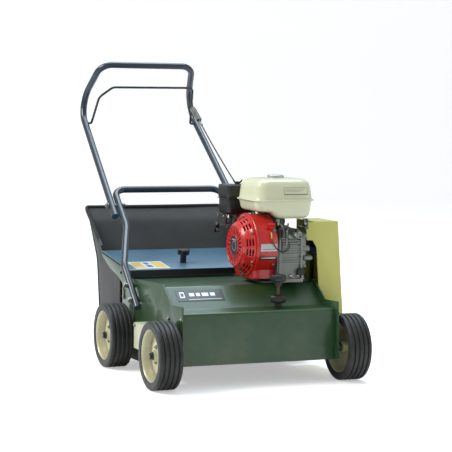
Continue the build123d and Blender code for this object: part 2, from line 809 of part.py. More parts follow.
with BuildPart() as carburettor:
    with BuildSketch(Plane(origin=at(70, 346, cleaner_low))):
        Circle(20)
    extrude(amount=-18)
    with BuildSketch(Plane(origin=at(70, 340, cleaner_low - 18))):
        RectangleRounded(44, 48, 8)
    extrude(amount=-40)
    with BuildSketch(Plane(origin=at(70, 340, cleaner_low - 58))):
        Circle(18)
    extrude(amount=-24)
save(carburettor, "carburettor")

throttle_pivot = (40.0, 352.0, 450.0)
choke_pivot = (40.0, 330.0, 440.0)


def engine_lever(pivot, reach, rise):
    """A flat lever on a pin that stands out of the carburettor's left side."""
    x, y, z = pivot
    with BuildPart() as lever:
        with BuildSketch(side_plane(x)):
            with Locations((y, z)):
                Circle(3)
        extrude(amount=7.5)
        with BuildSketch(side_plane(x)):
            with Locations((y, z)):
                Circle(5)
        extrude(amount=-3)
        with BuildSketch(side_plane(x)):
            with BuildLine():
                Polyline((y - 4, z - 4), (y + 4, z - 4), (y + reach + 4, z + rise),
                         (y + reach - 4, z + rise + 3), close=True)
            make_face()
        extrude(amount=-3)
    return lever


save(engine_lever(throttle_pivot, -18, 26), "throttle_lever")
save(engine_lever(choke_pivot, -16, -18), "choke_lever")

muffler_wall = 2.0
with BuildPart() as muffler:
    with BuildSketch(Plane(origin=at(188, 348, 494))):
        RectangleRounded(88, 80, 16)
    extrude(amount=68)
    with BuildSketch(Plane(origin=at(188, 348, 494 + muffler_wall))):
        RectangleRounded(88 - 2 * muffler_wall, 80 - 2 * muffler_wall, 16 - muffler_wall)
    extrude(amount=68 - 2 * muffler_wall, mode=Mode.SUBTRACT)
    with BuildSketch(Plane(origin=at(216, 330, 494))):
        Circle(11)
    extrude(amount=-24)
    with BuildSketch(Plane(origin=at(216, 330, 494 + muffler_wall))):
        Circle(9)
    extrude(amount=-24 - muffler_wall, mode=Mode.SUBTRACT)
save(muffler, "muffler")

switch_plane = Plane(origin=at(96, crank_y - fan_radius * 0.78, crank_z + fan_radius * 0.62 + 1),
                     x_dir=(1, 0, 0), z_dir=(0, -0.78, 0.62))
with BuildPart() as engine_switch:
    with BuildSketch(switch_plane):
        Circle(11)
    extrude(amount=9)
    with BuildSketch(switch_plane.offset(9)):
        Rectangle(22, 7)
    extrude(amount=7)
save(engine_switch, "engine_switch")

cap_plane = Plane(origin=at(188, case_front, 318), x_dir=(1, 0, 0), z_dir=(0, -1, 0))
with BuildPart() as oil_filler_cap:
    with BuildSketch(cap_plane.offset(face_gap)):
        Circle(12)
        with PolarLocations(13, 10):
            Circle(2, mode=Mode.SUBTRACT)
    extrude(amount=11)
save(oil_filler_cap, "oil_filler_cap")

# ---- handle --------------------------------------------------------------------------------------


def end_plugs(route):
    """Two round plugs on the ends of a tube."""
    with BuildPart() as plugs:
        for place, direction in ((route @ 0, route % 0 * -1), (route @ 1, route % 1)):
            with BuildSketch(Plane(origin=place, z_dir=direction)):
                Circle(tube_radius + 0.8)
            extrude(amount=7)
    return plugs.part


low_route = mirrored_route(low_leg, low_leg_bends, front_y)
with BuildPart() as lower_handle:
    add(tube_along(low_route, tube_radius, tube_wall))
    with BuildSketch(side_plane(-leg_x - 20)):
        with Locations(*bolt_places):
            Circle(bolt_bore)
    extrude(amount=2 * leg_x + 40, mode=Mode.SUBTRACT)
    with BuildSketch(side_plane(-fold_grip_x)):
        with Locations((fold_y, fold_z)):
            Circle(bolt_bore)
    extrude(amount=2 * fold_grip_x, mode=Mode.SUBTRACT)
    add(end_plugs(low_route))
save(lower_handle, "lower_handle")

nut_start = inner_deck - 7
head_end = leg_x + tube_radius + 5
with BuildPart() as handle_bolts:
    for side in (-1, 1):
        for y, z in bolt_places:
            spans = [(nut_start, head_end, bolt_radius), (nut_start, inner_deck, 7),
                     (leg_x + tube_radius, head_end, 7.5), (half_deck, leg_x - tube_radius, 7)]
            steps = [(*sorted((side * start, side * end)), radius) for start, end, radius in spans]
            add(disc_stack(y, z, steps))
save(handle_bolts, "handle_bolts")

grip_route = mirrored_route(grip_leg, grip_bends, front_y)
bail_in = bail_leg_x - tube_radius - 11
with BuildPart() as upper_handle:
    add(tube_along(grip_route, tube_radius, tube_wall))
    with BuildSketch(side_plane(-fold_grip_x - 30)):
        with Locations((fold_y, fold_z)):
            Circle(bolt_radius)
    extrude(amount=2 * fold_grip_x + 60, mode=Mode.SUBTRACT)
    with BuildSketch(side_plane(-bail_leg_x)):
        with Locations((bail_y, bail_z)):
            Circle(bail_radius + run_gap)
    extrude(amount=2 * bail_leg_x, mode=Mode.SUBTRACT)
    add(end_plugs(grip_route))
save(upper_handle, "upper_handle")

pivot_in = fold_low_x - tube_radius
pivot_out = fold_grip_x + tube_radius
with BuildPart() as handle_pivots:
    for side in (-1, 1):
        spans = [(pivot_in - 14, pivot_out + 4.5, bolt_radius), (pivot_out + 0.5, pivot_out + 4.5, 8),
                 (pivot_in - 9, pivot_in - 1, 7)]
        steps = [(*sorted((side * start, side * end)), radius) for start, end, radius in spans]
        add(disc_stack(fold_y, fold_z, steps))
        with BuildSketch(side_plane(side * (pivot_in - 8))):
            with Locations((fold_y, fold_z)):
                SlotOverall(34, 8)
        extrude(amount=side * 4)
save(handle_pivots, "handle_pivots")

# ---- bail lever, its spring and the cable to the idler -------------------------------------------
bail_points = [(-bail_leg_x, bail_y, bail_z), (-bail_in, bail_y, bail_z), (-169, 1005, 839.5),
               (-121, 1000, 873.4), (172, 1000, 875), (bail_in, bail_y, bail_z), (bail_leg_x, bail_y, bail_z)]
with BuildLine() as bail_route:
    FilletPolyline(*[at(*point) for point in bail_points], radius=[7, 30, 30, 16, 7])
with BuildPart() as bail_lever:
    add(tube_along(bail_route.line, bail_radius))
save(bail_lever, "bail_lever")

arm_top, arm_foot = Vector(*at(*bail_points[4])), Vector(*at(*bail_points[5]))
hook_centre = (arm_top + arm_foot) * 0.5
spring_foot = Vector(*at(*cable_route[0]))
spring_line = (spring_foot - hook_centre).normalized()
spring_length = (spring_foot - hook_centre).length
coil_radius = 10.0
wire_radius = 1.6
with BuildPart() as bail_spring:
    with BuildSketch(Plane(origin=hook_centre + spring_line * 14, z_dir=spring_line)):
        Circle(coil_radius)
        Circle(coil_radius - 2 * wire_radius, mode=Mode.SUBTRACT)
    extrude(amount=spring_length - 26)
    for start, end, radius in ((6.6, 18, wire_radius), (spring_length - 18, spring_length, wire_radius),
                               (spring_length - 8, spring_length, 3)):
        with BuildSketch(Plane(origin=hook_centre + spring_line * start, z_dir=spring_line)):
            Circle(radius)
        extrude(amount=end - start)
    for start in (14, spring_length - 15):
        with BuildSketch(Plane(origin=hook_centre + spring_line * start, z_dir=spring_line)):
            Circle(coil_radius)
        extrude(amount=3)
    hook_plane = Plane(origin=hook_centre, z_dir=arm_foot - arm_top)
    with Locations(hook_plane.location):
        Torus(bail_radius + 1.2 + wire_radius, wire_radius)
save(bail_spring, "bail_spring")

cable_start = Vector(*at(*cable_route[0]))
first_run = (cable_start - cable_turn).length
cable_angle = (cable_turn - cable_start).get_angle(cable_foot - cable_turn)
cable_bend = 0.45 * first_run / tan(radians(cable_angle / 2))
with BuildLine() as cable_line:
    FilletPolyline(cable_start + spring_line * face_gap, cable_turn, cable_foot, radius=cable_bend)
with BuildPart() as clutch_cable:
    add(tube_along(cable_line.line, cable_radius))
save(clutch_cable, "clutch_cable")
cable_length = sum(edge.length for edge in cable_line.edges())
print("cable length", round(cable_length, 1), "bend radius", round(cable_bend, 1),
      "volume share", round(clutch_cable.part.volume / (cable_length * pi * cable_radius ** 2), 4))

# ---- deflector plate with its star knob ----------------------------------------------------------
lid_slope = atan2(lid_back[1] - lid_front[1], lid_back[0] - lid_front[0])
flange_drop = 22.0
with BuildPart() as deflector:
    with BuildSketch(side_plane(-half_deck)):
        with BuildLine():
            FilletPolyline((lid_front[0], lid_front[1] - flange_drop), lid_front, lid_back, radius=4)
        trace(line_width=sheet_wall)
    extrude(amount=deck_width)
save(deflector, "deflector")

knob_z = lid_front[1] + (knob_y - lid_front[0]) * tan(lid_slope) + sheet_wall / 2
knob_plane = Plane(origin=at(knob_x, knob_y, knob_z), x_dir=(1, 0, 0),
                   z_dir=(0, -sin(lid_slope), cos(lid_slope)))
with BuildPart() as deflector_knob:
    with BuildSketch(knob_plane.offset(face_gap)):
        Circle(10)
    extrude(amount=26)
    with BuildSketch(knob_plane.offset(26)):
        Circle(14)
        with PolarLocations(14, 6):
            Circle(6)
    extrude(amount=16)
save(deflector_knob, "deflector_knob")

# ---- collection bag, its frame and hooks ---------------------------------------------------------
bag_half = bag_width / 2
bag_outline = [(912, 460), (861, 425), (778, 305), (756, 163), (745, 62), (560, 50), (536, 62), (536, 290),
               (700, 315), (724, 331), (732, 347)]
bag_hollow = [(930, 480), (908, 458), (858, 425), (775, 305), (753, 163), (742, 65), (561, 53),
              (500, 60), (500, 520), (800, 520)]
with BuildPart() as collection_bag:
    with BuildSketch(side_plane(-bag_half)):
        with BuildLine():
            Polyline(*bag_outline, close=True)
        make_face()
    extrude(amount=bag_width)
    with BuildSketch(side_plane(-bag_half + bag_wall)):
        with BuildLine():
            Polyline(*bag_hollow, close=True)
        make_face()
    extrude(amount=bag_width - 2 * bag_wall, mode=Mode.SUBTRACT)
save(collection_bag, "collection_bag")

frame_radius = 4.0
frame_half = bag_half + 2
rim_points = [(-frame_half, 728, 351), (-frame_half, 914, 468), (frame_half, 914, 468),
              (frame_half, 728, 351)]
with BuildLine() as rim_route:
    FilletPolyline(*[at(*point) for point in rim_points], radius=14)
with BuildPart() as bag_frame:
    add(tube_along(rim_route.line, frame_radius))
save(bag_frame, "bag_frame")

with BuildPart() as bag_hooks:
    for side in (-1, 1):
        with BuildSketch(side_plane(side * half_deck)):
            with Locations((489, 226)):
                Rectangle(10, 42)
        extrude(amount=side * 2.5)
save(bag_hooks, "bag_hooks")
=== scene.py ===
import json
from math import cos, pi, radians, sin

import bmesh
import bpy
from mathutils import Matrix, Vector, noise

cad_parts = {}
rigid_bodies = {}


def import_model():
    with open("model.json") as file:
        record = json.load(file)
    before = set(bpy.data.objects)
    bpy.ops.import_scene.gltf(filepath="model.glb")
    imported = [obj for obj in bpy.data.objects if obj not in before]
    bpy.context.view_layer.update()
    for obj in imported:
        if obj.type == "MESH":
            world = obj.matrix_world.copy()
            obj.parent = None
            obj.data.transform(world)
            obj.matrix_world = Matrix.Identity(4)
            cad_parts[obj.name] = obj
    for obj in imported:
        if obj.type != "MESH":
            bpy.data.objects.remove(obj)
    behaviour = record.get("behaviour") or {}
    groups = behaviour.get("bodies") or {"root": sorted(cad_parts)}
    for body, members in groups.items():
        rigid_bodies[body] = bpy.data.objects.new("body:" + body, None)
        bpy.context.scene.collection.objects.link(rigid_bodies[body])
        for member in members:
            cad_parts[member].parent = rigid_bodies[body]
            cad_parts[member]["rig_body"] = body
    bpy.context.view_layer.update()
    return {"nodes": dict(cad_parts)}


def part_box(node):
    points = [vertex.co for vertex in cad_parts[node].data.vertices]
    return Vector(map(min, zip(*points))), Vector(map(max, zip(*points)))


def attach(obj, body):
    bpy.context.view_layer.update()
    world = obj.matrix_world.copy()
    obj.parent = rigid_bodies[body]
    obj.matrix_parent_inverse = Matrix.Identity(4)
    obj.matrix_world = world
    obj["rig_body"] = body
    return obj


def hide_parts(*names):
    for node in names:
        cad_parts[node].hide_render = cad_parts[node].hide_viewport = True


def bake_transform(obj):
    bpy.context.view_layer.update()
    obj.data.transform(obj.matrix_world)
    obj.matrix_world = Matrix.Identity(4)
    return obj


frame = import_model()
nodes = frame["nodes"]
scene = bpy.context.scene
frontY = sum(corner.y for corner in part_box("front_axle")) / 2
print("frame loaded,", len(nodes), "nodes")


def spot(x, y, z):
    # millimetres from the ground under the front axle, turned into metres in the machine's frame
    return Vector((x / 1000, frontY + y / 1000, z / 1000))


# camera: where it stands, how it is turned, and its lens
viewing = {"place": (-1.8853, -4.90925, 0.8379), "yaw": 22.04, "pitch": 4.418, "roll": 0.695,
           "lens": 130.9, "sensor": 36.0}


def placeCamera(look):
    yaw, pitch, roll = (radians(look[key]) for key in ("yaw", "pitch", "roll"))
    ahead = Vector((sin(yaw) * cos(pitch), cos(yaw) * cos(pitch), -sin(pitch)))
    right = Vector((cos(yaw), -sin(yaw), 0))
    up = right.cross(ahead)
    rolledRight = cos(roll) * right + sin(roll) * up
    rolledUp = -sin(roll) * right + cos(roll) * up
    turn = Matrix((rolledRight, rolledUp, -ahead)).transposed().to_4x4()
    data = bpy.data.cameras.new("mainCamera")
    data.lens = look["lens"]
    data.sensor_width = look["sensor"]
    data.clip_end = 60
    camera = bpy.data.objects.new("mainCamera", data)
    camera.matrix_world = Matrix.Translation(look["place"]) @ turn
    scene.collection.objects.link(camera)
    scene.camera = camera


placeCamera(viewing)


# node helpers, for shaders and geometry alike
def wire(tree, socket, value):
    if isinstance(value, bpy.types.NodeSocket):
        tree.links.new(value, socket)
    else:
        socket.default_value = value


def addNode(tree, kind, inputs=None, **settings):
    made = tree.nodes.new(kind)
    for key, value in settings.items():
        setattr(made, key, value)
    for key, value in (inputs or {}).items():
        wire(tree, made.inputs[key], value)
    return made


def maths(tree, operation, first, second=0.0, third=None, clamp=False):
    inputs = {0: first, 1: second}
    if third is not None:
        inputs[2] = third
    return addNode(tree, "ShaderNodeMath", inputs, operation=operation, use_clamp=clamp).outputs[0]


def linear(colour):
    # 0-255 screen colour to linear light, with alpha
    shares = [c / 255 for c in colour]
    return tuple(s / 12.92 if s <= 0.04045 else ((s + 0.055) / 1.055) ** 2.4 for s in shares) + (1.0,)


def shaderGroup(name, inputs, outputs):
    group = bpy.data.node_groups.new(name, "ShaderNodeTree")
    for label, kind, value in inputs:
        socket = group.interface.new_socket(label, in_out="INPUT", socket_type="NodeSocket" + kind)
        socket.default_value = value
    for label, kind in outputs:
        group.interface.new_socket(label, in_out="OUTPUT", socket_type="NodeSocket" + kind)
    return group, group.nodes.new("NodeGroupInput").outputs, group.nodes.new("NodeGroupOutput").inputs


def mixColour(tree, share, first, second):
    mixed = addNode(tree, "ShaderNodeMix", data_type="RGBA")
    wire(tree, mixed.inputs[0], share)
    wire(tree, mixed.inputs[6], first)
    wire(tree, mixed.inputs[7], second)
    return mixed.outputs[2]


# shared effects
def makeWear():
    group, given, out = shaderGroup(
        "edgeWear",
        [("Amount", "Float", 0.5), ("Reach", "Float", 0.0015), ("Patch Scale", "Float", 60.0)],
        [("Mask", "Float")])
    where = addNode(group, "ShaderNodeTexCoord").outputs["Object"]
    rounded = addNode(group, "ShaderNodeBevel", {"Radius": given["Reach"]}, samples=4).outputs[0]
    flat = addNode(group, "ShaderNodeNewGeometry").outputs["Normal"]
    turned = addNode(group, "ShaderNodeVectorMath", {0: rounded, 1: flat},
                     operation="DOT_PRODUCT").outputs["Value"]
    edge = maths(group, "MULTIPLY", maths(group, "SUBTRACT", 1.0, turned), 6.0, clamp=True)
    patches = addNode(group, "ShaderNodeTexNoise", {"Vector": where, "Scale": given["Patch Scale"],
                                                    "Detail": 4.0, "Roughness": 0.6}).outputs[0]
    broken = maths(group, "MULTIPLY", maths(group, "SUBTRACT", patches, 0.38), 4.0, clamp=True)
    worn = maths(group, "MULTIPLY", maths(group, "MULTIPLY", edge, broken), given["Amount"], clamp=True)
    wire(group, out["Mask"], worn)
    return group


def makeGrain():
    group, given, out = shaderGroup(
        "surfaceGrain",
        [("Scale", "Float", 400.0), ("Detail", "Float", 3.0), ("Cloud Scale", "Float", 6.0)],
        [("Height", "Float"), ("Cloud", "Float")])
    where = addNode(group, "ShaderNodeTexCoord").outputs["Object"]
    fine = addNode(group, "ShaderNodeTexNoise", {"Vector": where, "Scale": given["Scale"],
                                                 "Detail": given["Detail"]}).outputs[0]
    cloud = addNode(group, "ShaderNodeTexNoise", {"Vector": where, "Scale": given["Cloud Scale"],
                                                  "Detail": 3.0}).outputs[0]
    wire(group, out["Height"], fine)
    wire(group, out["Cloud"], cloud)
    return group


def makeDust():
    group, given, out = shaderGroup(
        "lowDust",
        [("Amount", "Float", 0.3), ("Top", "Float", 0.25), ("Patch Scale", "Float", 14.0)],
        [("Mask", "Float")])
    where = addNode(group, "ShaderNodeTexCoord").outputs["Object"]
    height = addNode(group, "ShaderNodeSeparateXYZ", {0: where}).outputs["Z"]
    low = maths(group, "SUBTRACT", 1.0, maths(group, "DIVIDE", height, given["Top"]), clamp=True)
    speckle = addNode(group, "ShaderNodeTexNoise", {"Vector": where, "Scale": given["Patch Scale"],
                                                    "Detail": 8.0, "Roughness": 0.7}).outputs[0]
    rough = maths(group, "MULTIPLY", maths(group, "SUBTRACT", speckle, 0.4), 2.4, clamp=True)
    mask = maths(group, "MULTIPLY", maths(group, "MULTIPLY", low, rough), given["Amount"], clamp=True)
    wire(group, out["Mask"], mask)
    return group


def makeWeave():
    group, given, out = shaderGroup(
        "plainWeave",
        [("Threads Per Metre", "Float", 700.0)],
        [("Height", "Float"), ("Shade", "Float")])
    where = addNode(group, "ShaderNodeUVMap", uv_map="cloth").outputs[0]
    scaled = addNode(group, "ShaderNodeVectorMath", {0: where, "Scale": given["Threads Per Metre"]},
                     operation="SCALE").outputs[0]
    parts = addNode(group, "ShaderNodeSeparateXYZ", {0: scaled}).outputs
    along = maths(group, "SINE", maths(group, "MULTIPLY", parts["X"], pi))
    across = maths(group, "SINE", maths(group, "MULTIPLY", parts["Y"], pi))
    # one set of threads stands up where the other goes under
    over = maths(group, "MULTIPLY", along, across)
    lines = maths(group, "MULTIPLY", maths(group, "ABSOLUTE", along), maths(group, "ABSOLUTE", across))
    height = maths(group, "ADD", maths(group, "MULTIPLY", over, 0.35), lines)
    wire(group, out["Height"], height)
    # painted shade: the low gaps between the threads come out darker
    wire(group, out["Shade"], maths(group, "MULTIPLY_ADD", height, 0.5, 0.4, clamp=True))
    return group


wearGroup, grainGroup, dustGroup, weaveGroup = makeWear(), makeGrain(), makeDust(), makeWeave()


def useGroup(tree, group, **values):
    placed = tree.nodes.new("ShaderNodeGroup")
    placed.node_tree = group
    for key, value in values.items():
        wire(tree, placed.inputs[key.replace("_", " ")], value)
    return placed.outputs


# one dictionary per finish: colours are 0-255, grain is (scale, bump strength, bump depth)
finishes = {
    "greenPaint": {"colour": (36, 72, 34), "shade": (28, 60, 32), "bare": (120, 140, 112), "rough": 0.36,
                   "coat": 0.3, "grain": (320, 0.10, 0.0006), "wear": 0.3, "dust": 0.25},
    "bluePaint": {"colour": (22, 40, 54), "shade": (15, 31, 44), "bare": (120, 134, 142), "rough": 0.3,
                  "coat": 0.5, "grain": (420, 0.06, 0.0004), "wear": 0.35, "dust": 0.0},
    "lidPaint": {"colour": (78, 118, 142), "shade": (66, 104, 130), "bare": (150, 165, 172), "rough": 0.36,
                 "coat": 0.3, "grain": (380, 0.08, 0.0005), "wear": 0.4, "dust": 0.0},
    "guardPaint": {"colour": (206, 202, 112), "shade": (196, 192, 100), "bare": (180, 180, 168),
                   "rough": 0.42, "coat": 0.2, "grain": (360, 0.10, 0.0005), "wear": 0.35, "dust": 0.15},
    "coverPaint": {"colour": (196, 194, 168), "shade": (182, 182, 158), "bare": (150, 150, 146),
                   "rough": 0.45, "coat": 0.15, "grain": (360, 0.10, 0.0005), "wear": 0.35, "dust": 0.3},
    "rimPaint": {"colour": (212, 208, 176), "shade": (190, 188, 158), "bare": (160, 160, 152), "rough": 0.32,
                 "coat": 0.3, "grain": (300, 0.12, 0.0006), "wear": 0.4, "dust": 0.35, "metal": 0.25},
    "tankPaint": {"colour": (216, 218, 186), "shade": (206, 206, 168), "bare": (200, 200, 180), "rough": 0.22,
                  "coat": 0.6, "grain": (160, 0.04, 0.0005), "wear": 0.1, "dust": 0.0},
    "redPaint": {"colour": (206, 20, 12), "shade": (184, 14, 9), "bare": (226, 90, 76), "rough": 0.26,
                 "coat": 0.6, "grain": (260, 0.06, 0.0005), "wear": 0.4, "dust": 0.0},
    "blackPlastic": {"colour": (20, 21, 21), "shade": (13, 14, 14), "bare": (74, 76, 76), "rough": 0.42,
                     "coat": 0.1, "grain": (900, 0.22, 0.0006), "wear": 0.3, "dust": 0.0},
    "beltRubber": {"colour": (26, 26, 26), "shade": (18, 18, 18), "bare": (56, 56, 56), "rough": 0.7,
                   "coat": 0.0, "grain": (700, 0.3, 0.0006), "wear": 0.2, "dust": 0.1},
    "zincSteel": {"colour": (150, 150, 140), "shade": (112, 114, 108), "bare": (226, 226, 220), "rough": 0.28,
                  "coat": 0.0, "grain": (500, 0.12, 0.0004), "wear": 0.4, "dust": 0.0, "metal": 1.0},
    "bareSteel": {"colour": (120, 120, 116), "shade": (92, 92, 90), "bare": (190, 190, 186), "rough": 0.38,
                  "coat": 0.0, "grain": (400, 0.16, 0.0005), "wear": 0.5, "dust": 0.2, "metal": 1.0},
    "blackSteel": {"colour": (32, 36, 40), "shade": (24, 27, 30), "bare": (110, 114, 118), "rough": 0.34,
                   "coat": 0.25, "grain": (500, 0.08, 0.0004), "wear": 0.35, "dust": 0.0},
    "castAluminium": {"colour": (150, 153, 144), "shade": (104, 109, 103), "bare": (206, 208, 202),
                      "rough": 0.46, "coat": 0.0, "grain": (620, 0.45, 0.0009), "wear": 0.6, "dust": 0.0,
                      "metal": 0.85},
    "greyIron": {"colour": (70, 70, 70), "shade": (54, 54, 55), "bare": (150, 150, 148), "rough": 0.55,
                 "coat": 0.0, "grain": (520, 0.4, 0.0009), "wear": 0.5, "dust": 0.2, "metal": 0.7},
    "rodSteel": {"colour": (104, 88, 66), "shade": (74, 62, 46), "bare": (170, 160, 140), "rough": 0.42,
                 "coat": 0.0, "grain": (460, 0.2, 0.0005), "wear": 0.5, "dust": 0.1, "metal": 0.8},
    "staySteel": {"colour": (84, 86, 82), "shade": (60, 62, 60), "bare": (170, 170, 164), "rough": 0.42,
                  "coat": 0.0, "grain": (460, 0.16, 0.0005), "wear": 0.45, "dust": 0.0, "metal": 0.8},
    "labelWhite": {"colour": (222, 224, 210), "shade": (210, 212, 198), "bare": (222, 224, 210), "rough": 0.4,
                   "coat": 0.3, "grain": (200, 0.02, 0.0002), "wear": 0.0, "dust": 0.0},
    "labelYellow": {"colour": (216, 190, 92), "shade": (208, 182, 84), "bare": (216, 190, 92), "rough": 0.4,
                    "coat": 0.3, "grain": (200, 0.02, 0.0002), "wear": 0.0, "dust": 0.0},
    "labelBlue": {"colour": (70, 110, 190), "shade": (60, 98, 176), "bare": (70, 110, 190), "rough": 0.4,
                  "coat": 0.3, "grain": (200, 0.02, 0.0002), "wear": 0.0, "dust": 0.0},
    "labelGrey": {"colour": (120, 120, 112), "shade": (108, 108, 102), "bare": (120, 120, 112), "rough": 0.4,
                  "coat": 0.2, "grain": (200, 0.02, 0.0002), "wear": 0.0, "dust": 0.0},
    "badgeDark": {"colour": (18, 24, 30), "shade": (14, 19, 24), "bare": (70, 78, 84), "rough": 0.3,
                  "coat": 0.4, "grain": (300, 0.03, 0.0003), "wear": 0.1, "dust": 0.0},
    "foilSilver": {"colour": (208, 210, 206), "shade": (176, 180, 178), "bare": (226, 226, 222), "rough": 0.3,
                   "coat": 0.2, "grain": (240, 0.05, 0.0003), "wear": 0.0, "dust": 0.0, "metal": 0.6},
    "bindingTape": {"colour": (40, 41, 42), "shade": (30, 31, 32), "bare": (72, 72, 72), "rough": 0.8,
                    "coat": 0.0, "grain": (1400, 0.5, 0.0008), "wear": 0.0, "dust": 0.0},
    "threadGrey": {"colour": (120, 122, 118), "shade": (96, 98, 96), "bare": (120, 122, 118), "rough": 0.75,
                   "coat": 0.0, "grain": (2400, 0.3, 0.0004), "wear": 0.0, "dust": 0.0},
    "wireYellow": {"colour": (206, 190, 60), "shade": (190, 172, 50), "bare": (206, 190, 60), "rough": 0.45,
                   "coat": 0.1, "grain": (500, 0.05, 0.0003), "wear": 0.0, "dust": 0.0},
}
dirtColour = linear((150, 138, 108))


def newMaterial(name):
    material = bpy.data.materials.new(name)
    material.use_nodes = True
    return material, material.node_tree, material.node_tree.nodes["Principled BSDF"]


def makeFinish(name, look):
    material, tree, surface = newMaterial(name)
    scale, strength, depth = look["grain"]
    grain = useGroup(tree, grainGroup, Scale=scale, Detail=3.0, Cloud_Scale=7.0)
    colour = mixColour(tree, grain["Cloud"], linear(look["colour"]), linear(look["shade"]))
    roughness = maths(tree, "MULTIPLY_ADD", grain["Cloud"], 0.16, look["rough"] - 0.08)
    if look["wear"]:
        wear = useGroup(tree, wearGroup, Amount=look["wear"], Reach=0.0016, Patch_Scale=70.0)["Mask"]
        colour = mixColour(tree, wear, colour, linear(look["bare"]))
    if look["dust"]:
        dust = useGroup(tree, dustGroup, Amount=look["dust"], Top=0.3, Patch_Scale=16.0)["Mask"]
        colour = mixColour(tree, dust, colour, dirtColour)
        roughness = maths(tree, "ADD", roughness, maths(tree, "MULTIPLY", dust, 0.3), clamp=True)
    wire(tree, surface.inputs["Base Color"], colour)
    wire(tree, surface.inputs["Roughness"], roughness)
    surface.inputs["Metallic"].default_value = look.get("metal", 0.0)
    surface.inputs["Coat Weight"].default_value = look["coat"]
    surface.inputs["Coat Roughness"].default_value = 0.12
    bump = addNode(tree, "ShaderNodeBump",
                   {"Strength": strength, "Distance": depth, "Height": grain["Height"]})
    wire(tree, surface.inputs["Normal"], bump.outputs[0])
    return material


materials = {name: makeFinish(name, look) for name, look in finishes.items()}


# tyre rubber: moulded grain, dusty and paler towards the bottom
tyreLook = {"colour": (28, 29, 28), "shade": (20, 21, 21), "dust": (92, 88, 74), "rough": 0.52}


def makeTyreRubber(look):
    material, tree, surface = newMaterial("tyreRubber")
    grain = useGroup(tree, grainGroup, Scale=900.0, Detail=4.0, Cloud_Scale=22.0)
    colour = mixColour(tree, grain["Cloud"], linear(look["colour"]), linear(look["shade"]))
    dust = useGroup(tree, dustGroup, Amount=0.45, Top=0.22, Patch_Scale=30.0)["Mask"]
    colour = mixColour(tree, dust, colour, linear(look["dust"]))
    wire(tree, surface.inputs["Base Color"], colour)
    wire(tree, surface.inputs["Roughness"],
         maths(tree, "MULTIPLY_ADD", grain["Cloud"], 0.2, look["rough"] - 0.1))
    surface.inputs["Sheen Weight"].default_value = 0.12
    surface.inputs["Sheen Roughness"].default_value = 0.4
    bump = addNode(tree, "ShaderNodeBump", {"Strength": 0.25, "Distance": 0.0007, "Height": grain["Height"]})
    wire(tree, surface.inputs["Normal"], bump.outputs[0])
    return material


# bag cloth: plain weave on the panels' own measure, with painted shade between the threads, creased shading
clothLook = {"colour": (42, 44, 43), "shade": (24, 26, 25), "faded": (66, 66, 64), "threads": 620.0,
             "rough": 0.82}


def makeBagCloth(look):
    material, tree, surface = newMaterial("bagCloth")
    weave = useGroup(tree, weaveGroup, Threads_Per_Metre=look["threads"])
    grain = useGroup(tree, grainGroup, Scale=60.0, Detail=5.0, Cloud_Scale=5.0)
    # painted shade: the weave's low gaps take the dark shade colour
    colour = mixColour(tree, weave["Shade"], linear(look["shade"]), linear(look["colour"]))
    faded = maths(tree, "MULTIPLY", maths(tree, "SUBTRACT", grain["Cloud"], 0.42), 2.0, clamp=True)
    colour = mixColour(tree, maths(tree, "MULTIPLY", faded, 0.35), colour, linear(look["faded"]))
    wire(tree, surface.inputs["Base Color"], colour)
    surface.inputs["Roughness"].default_value = look["rough"]
    surface.inputs["Sheen Weight"].default_value = 0.25
    surface.inputs["Sheen Roughness"].default_value = 0.5
    height = maths(tree, "ADD", maths(tree, "MULTIPLY", weave["Height"], 0.5),
                   maths(tree, "MULTIPLY", grain["Height"], 0.8))
    bump = addNode(tree, "ShaderNodeBump", {"Strength": 0.7, "Distance": 0.0012, "Height": height})
    wire(tree, surface.inputs["Normal"], bump.outputs[0])
    return material


materials["tyreRubber"] = makeTyreRubber(tyreLook)
materials["bagCloth"] = makeBagCloth(clothLook)
print("materials made,", len(materials))


# mesh helpers
def smoothShading(mesh, angle=32):
    mesh.shade_smooth()
    mesh.set_sharp_from_angle(angle=radians(angle))


def addPiece(name, mesh, body, finish, replaced=(), angle=32):
    if finish:
        mesh.materials.clear()
        mesh.materials.append(materials[finish])
    smoothShading(mesh, angle)
    thing = bpy.data.objects.new(name, mesh)
    scene.collection.objects.link(thing)
    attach(thing, body)
    if replaced:
        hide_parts(*replaced)
    return thing


def plainMesh(thing):
    graph = bpy.context.evaluated_depsgraph_get()
    mesh = bpy.data.meshes.new_from_object(thing.evaluated_get(graph), depsgraph=graph)
    bpy.data.objects.remove(thing)
    return mesh


def tidyNormals(mesh, gap=1e-6):
    shell = bmesh.new()
    shell.from_mesh(mesh)
    bmesh.ops.remove_doubles(shell, verts=shell.verts, dist=gap)
    bmesh.ops.recalc_face_normals(shell, faces=shell.faces)
    shell.to_mesh(mesh)
    shell.free()
    return mesh


def meshFrom(name, points, faces):
    mesh = bpy.data.meshes.new(name)
    mesh.from_pydata([tuple(p) for p in points], [], faces)
    mesh.validate()
    return mesh


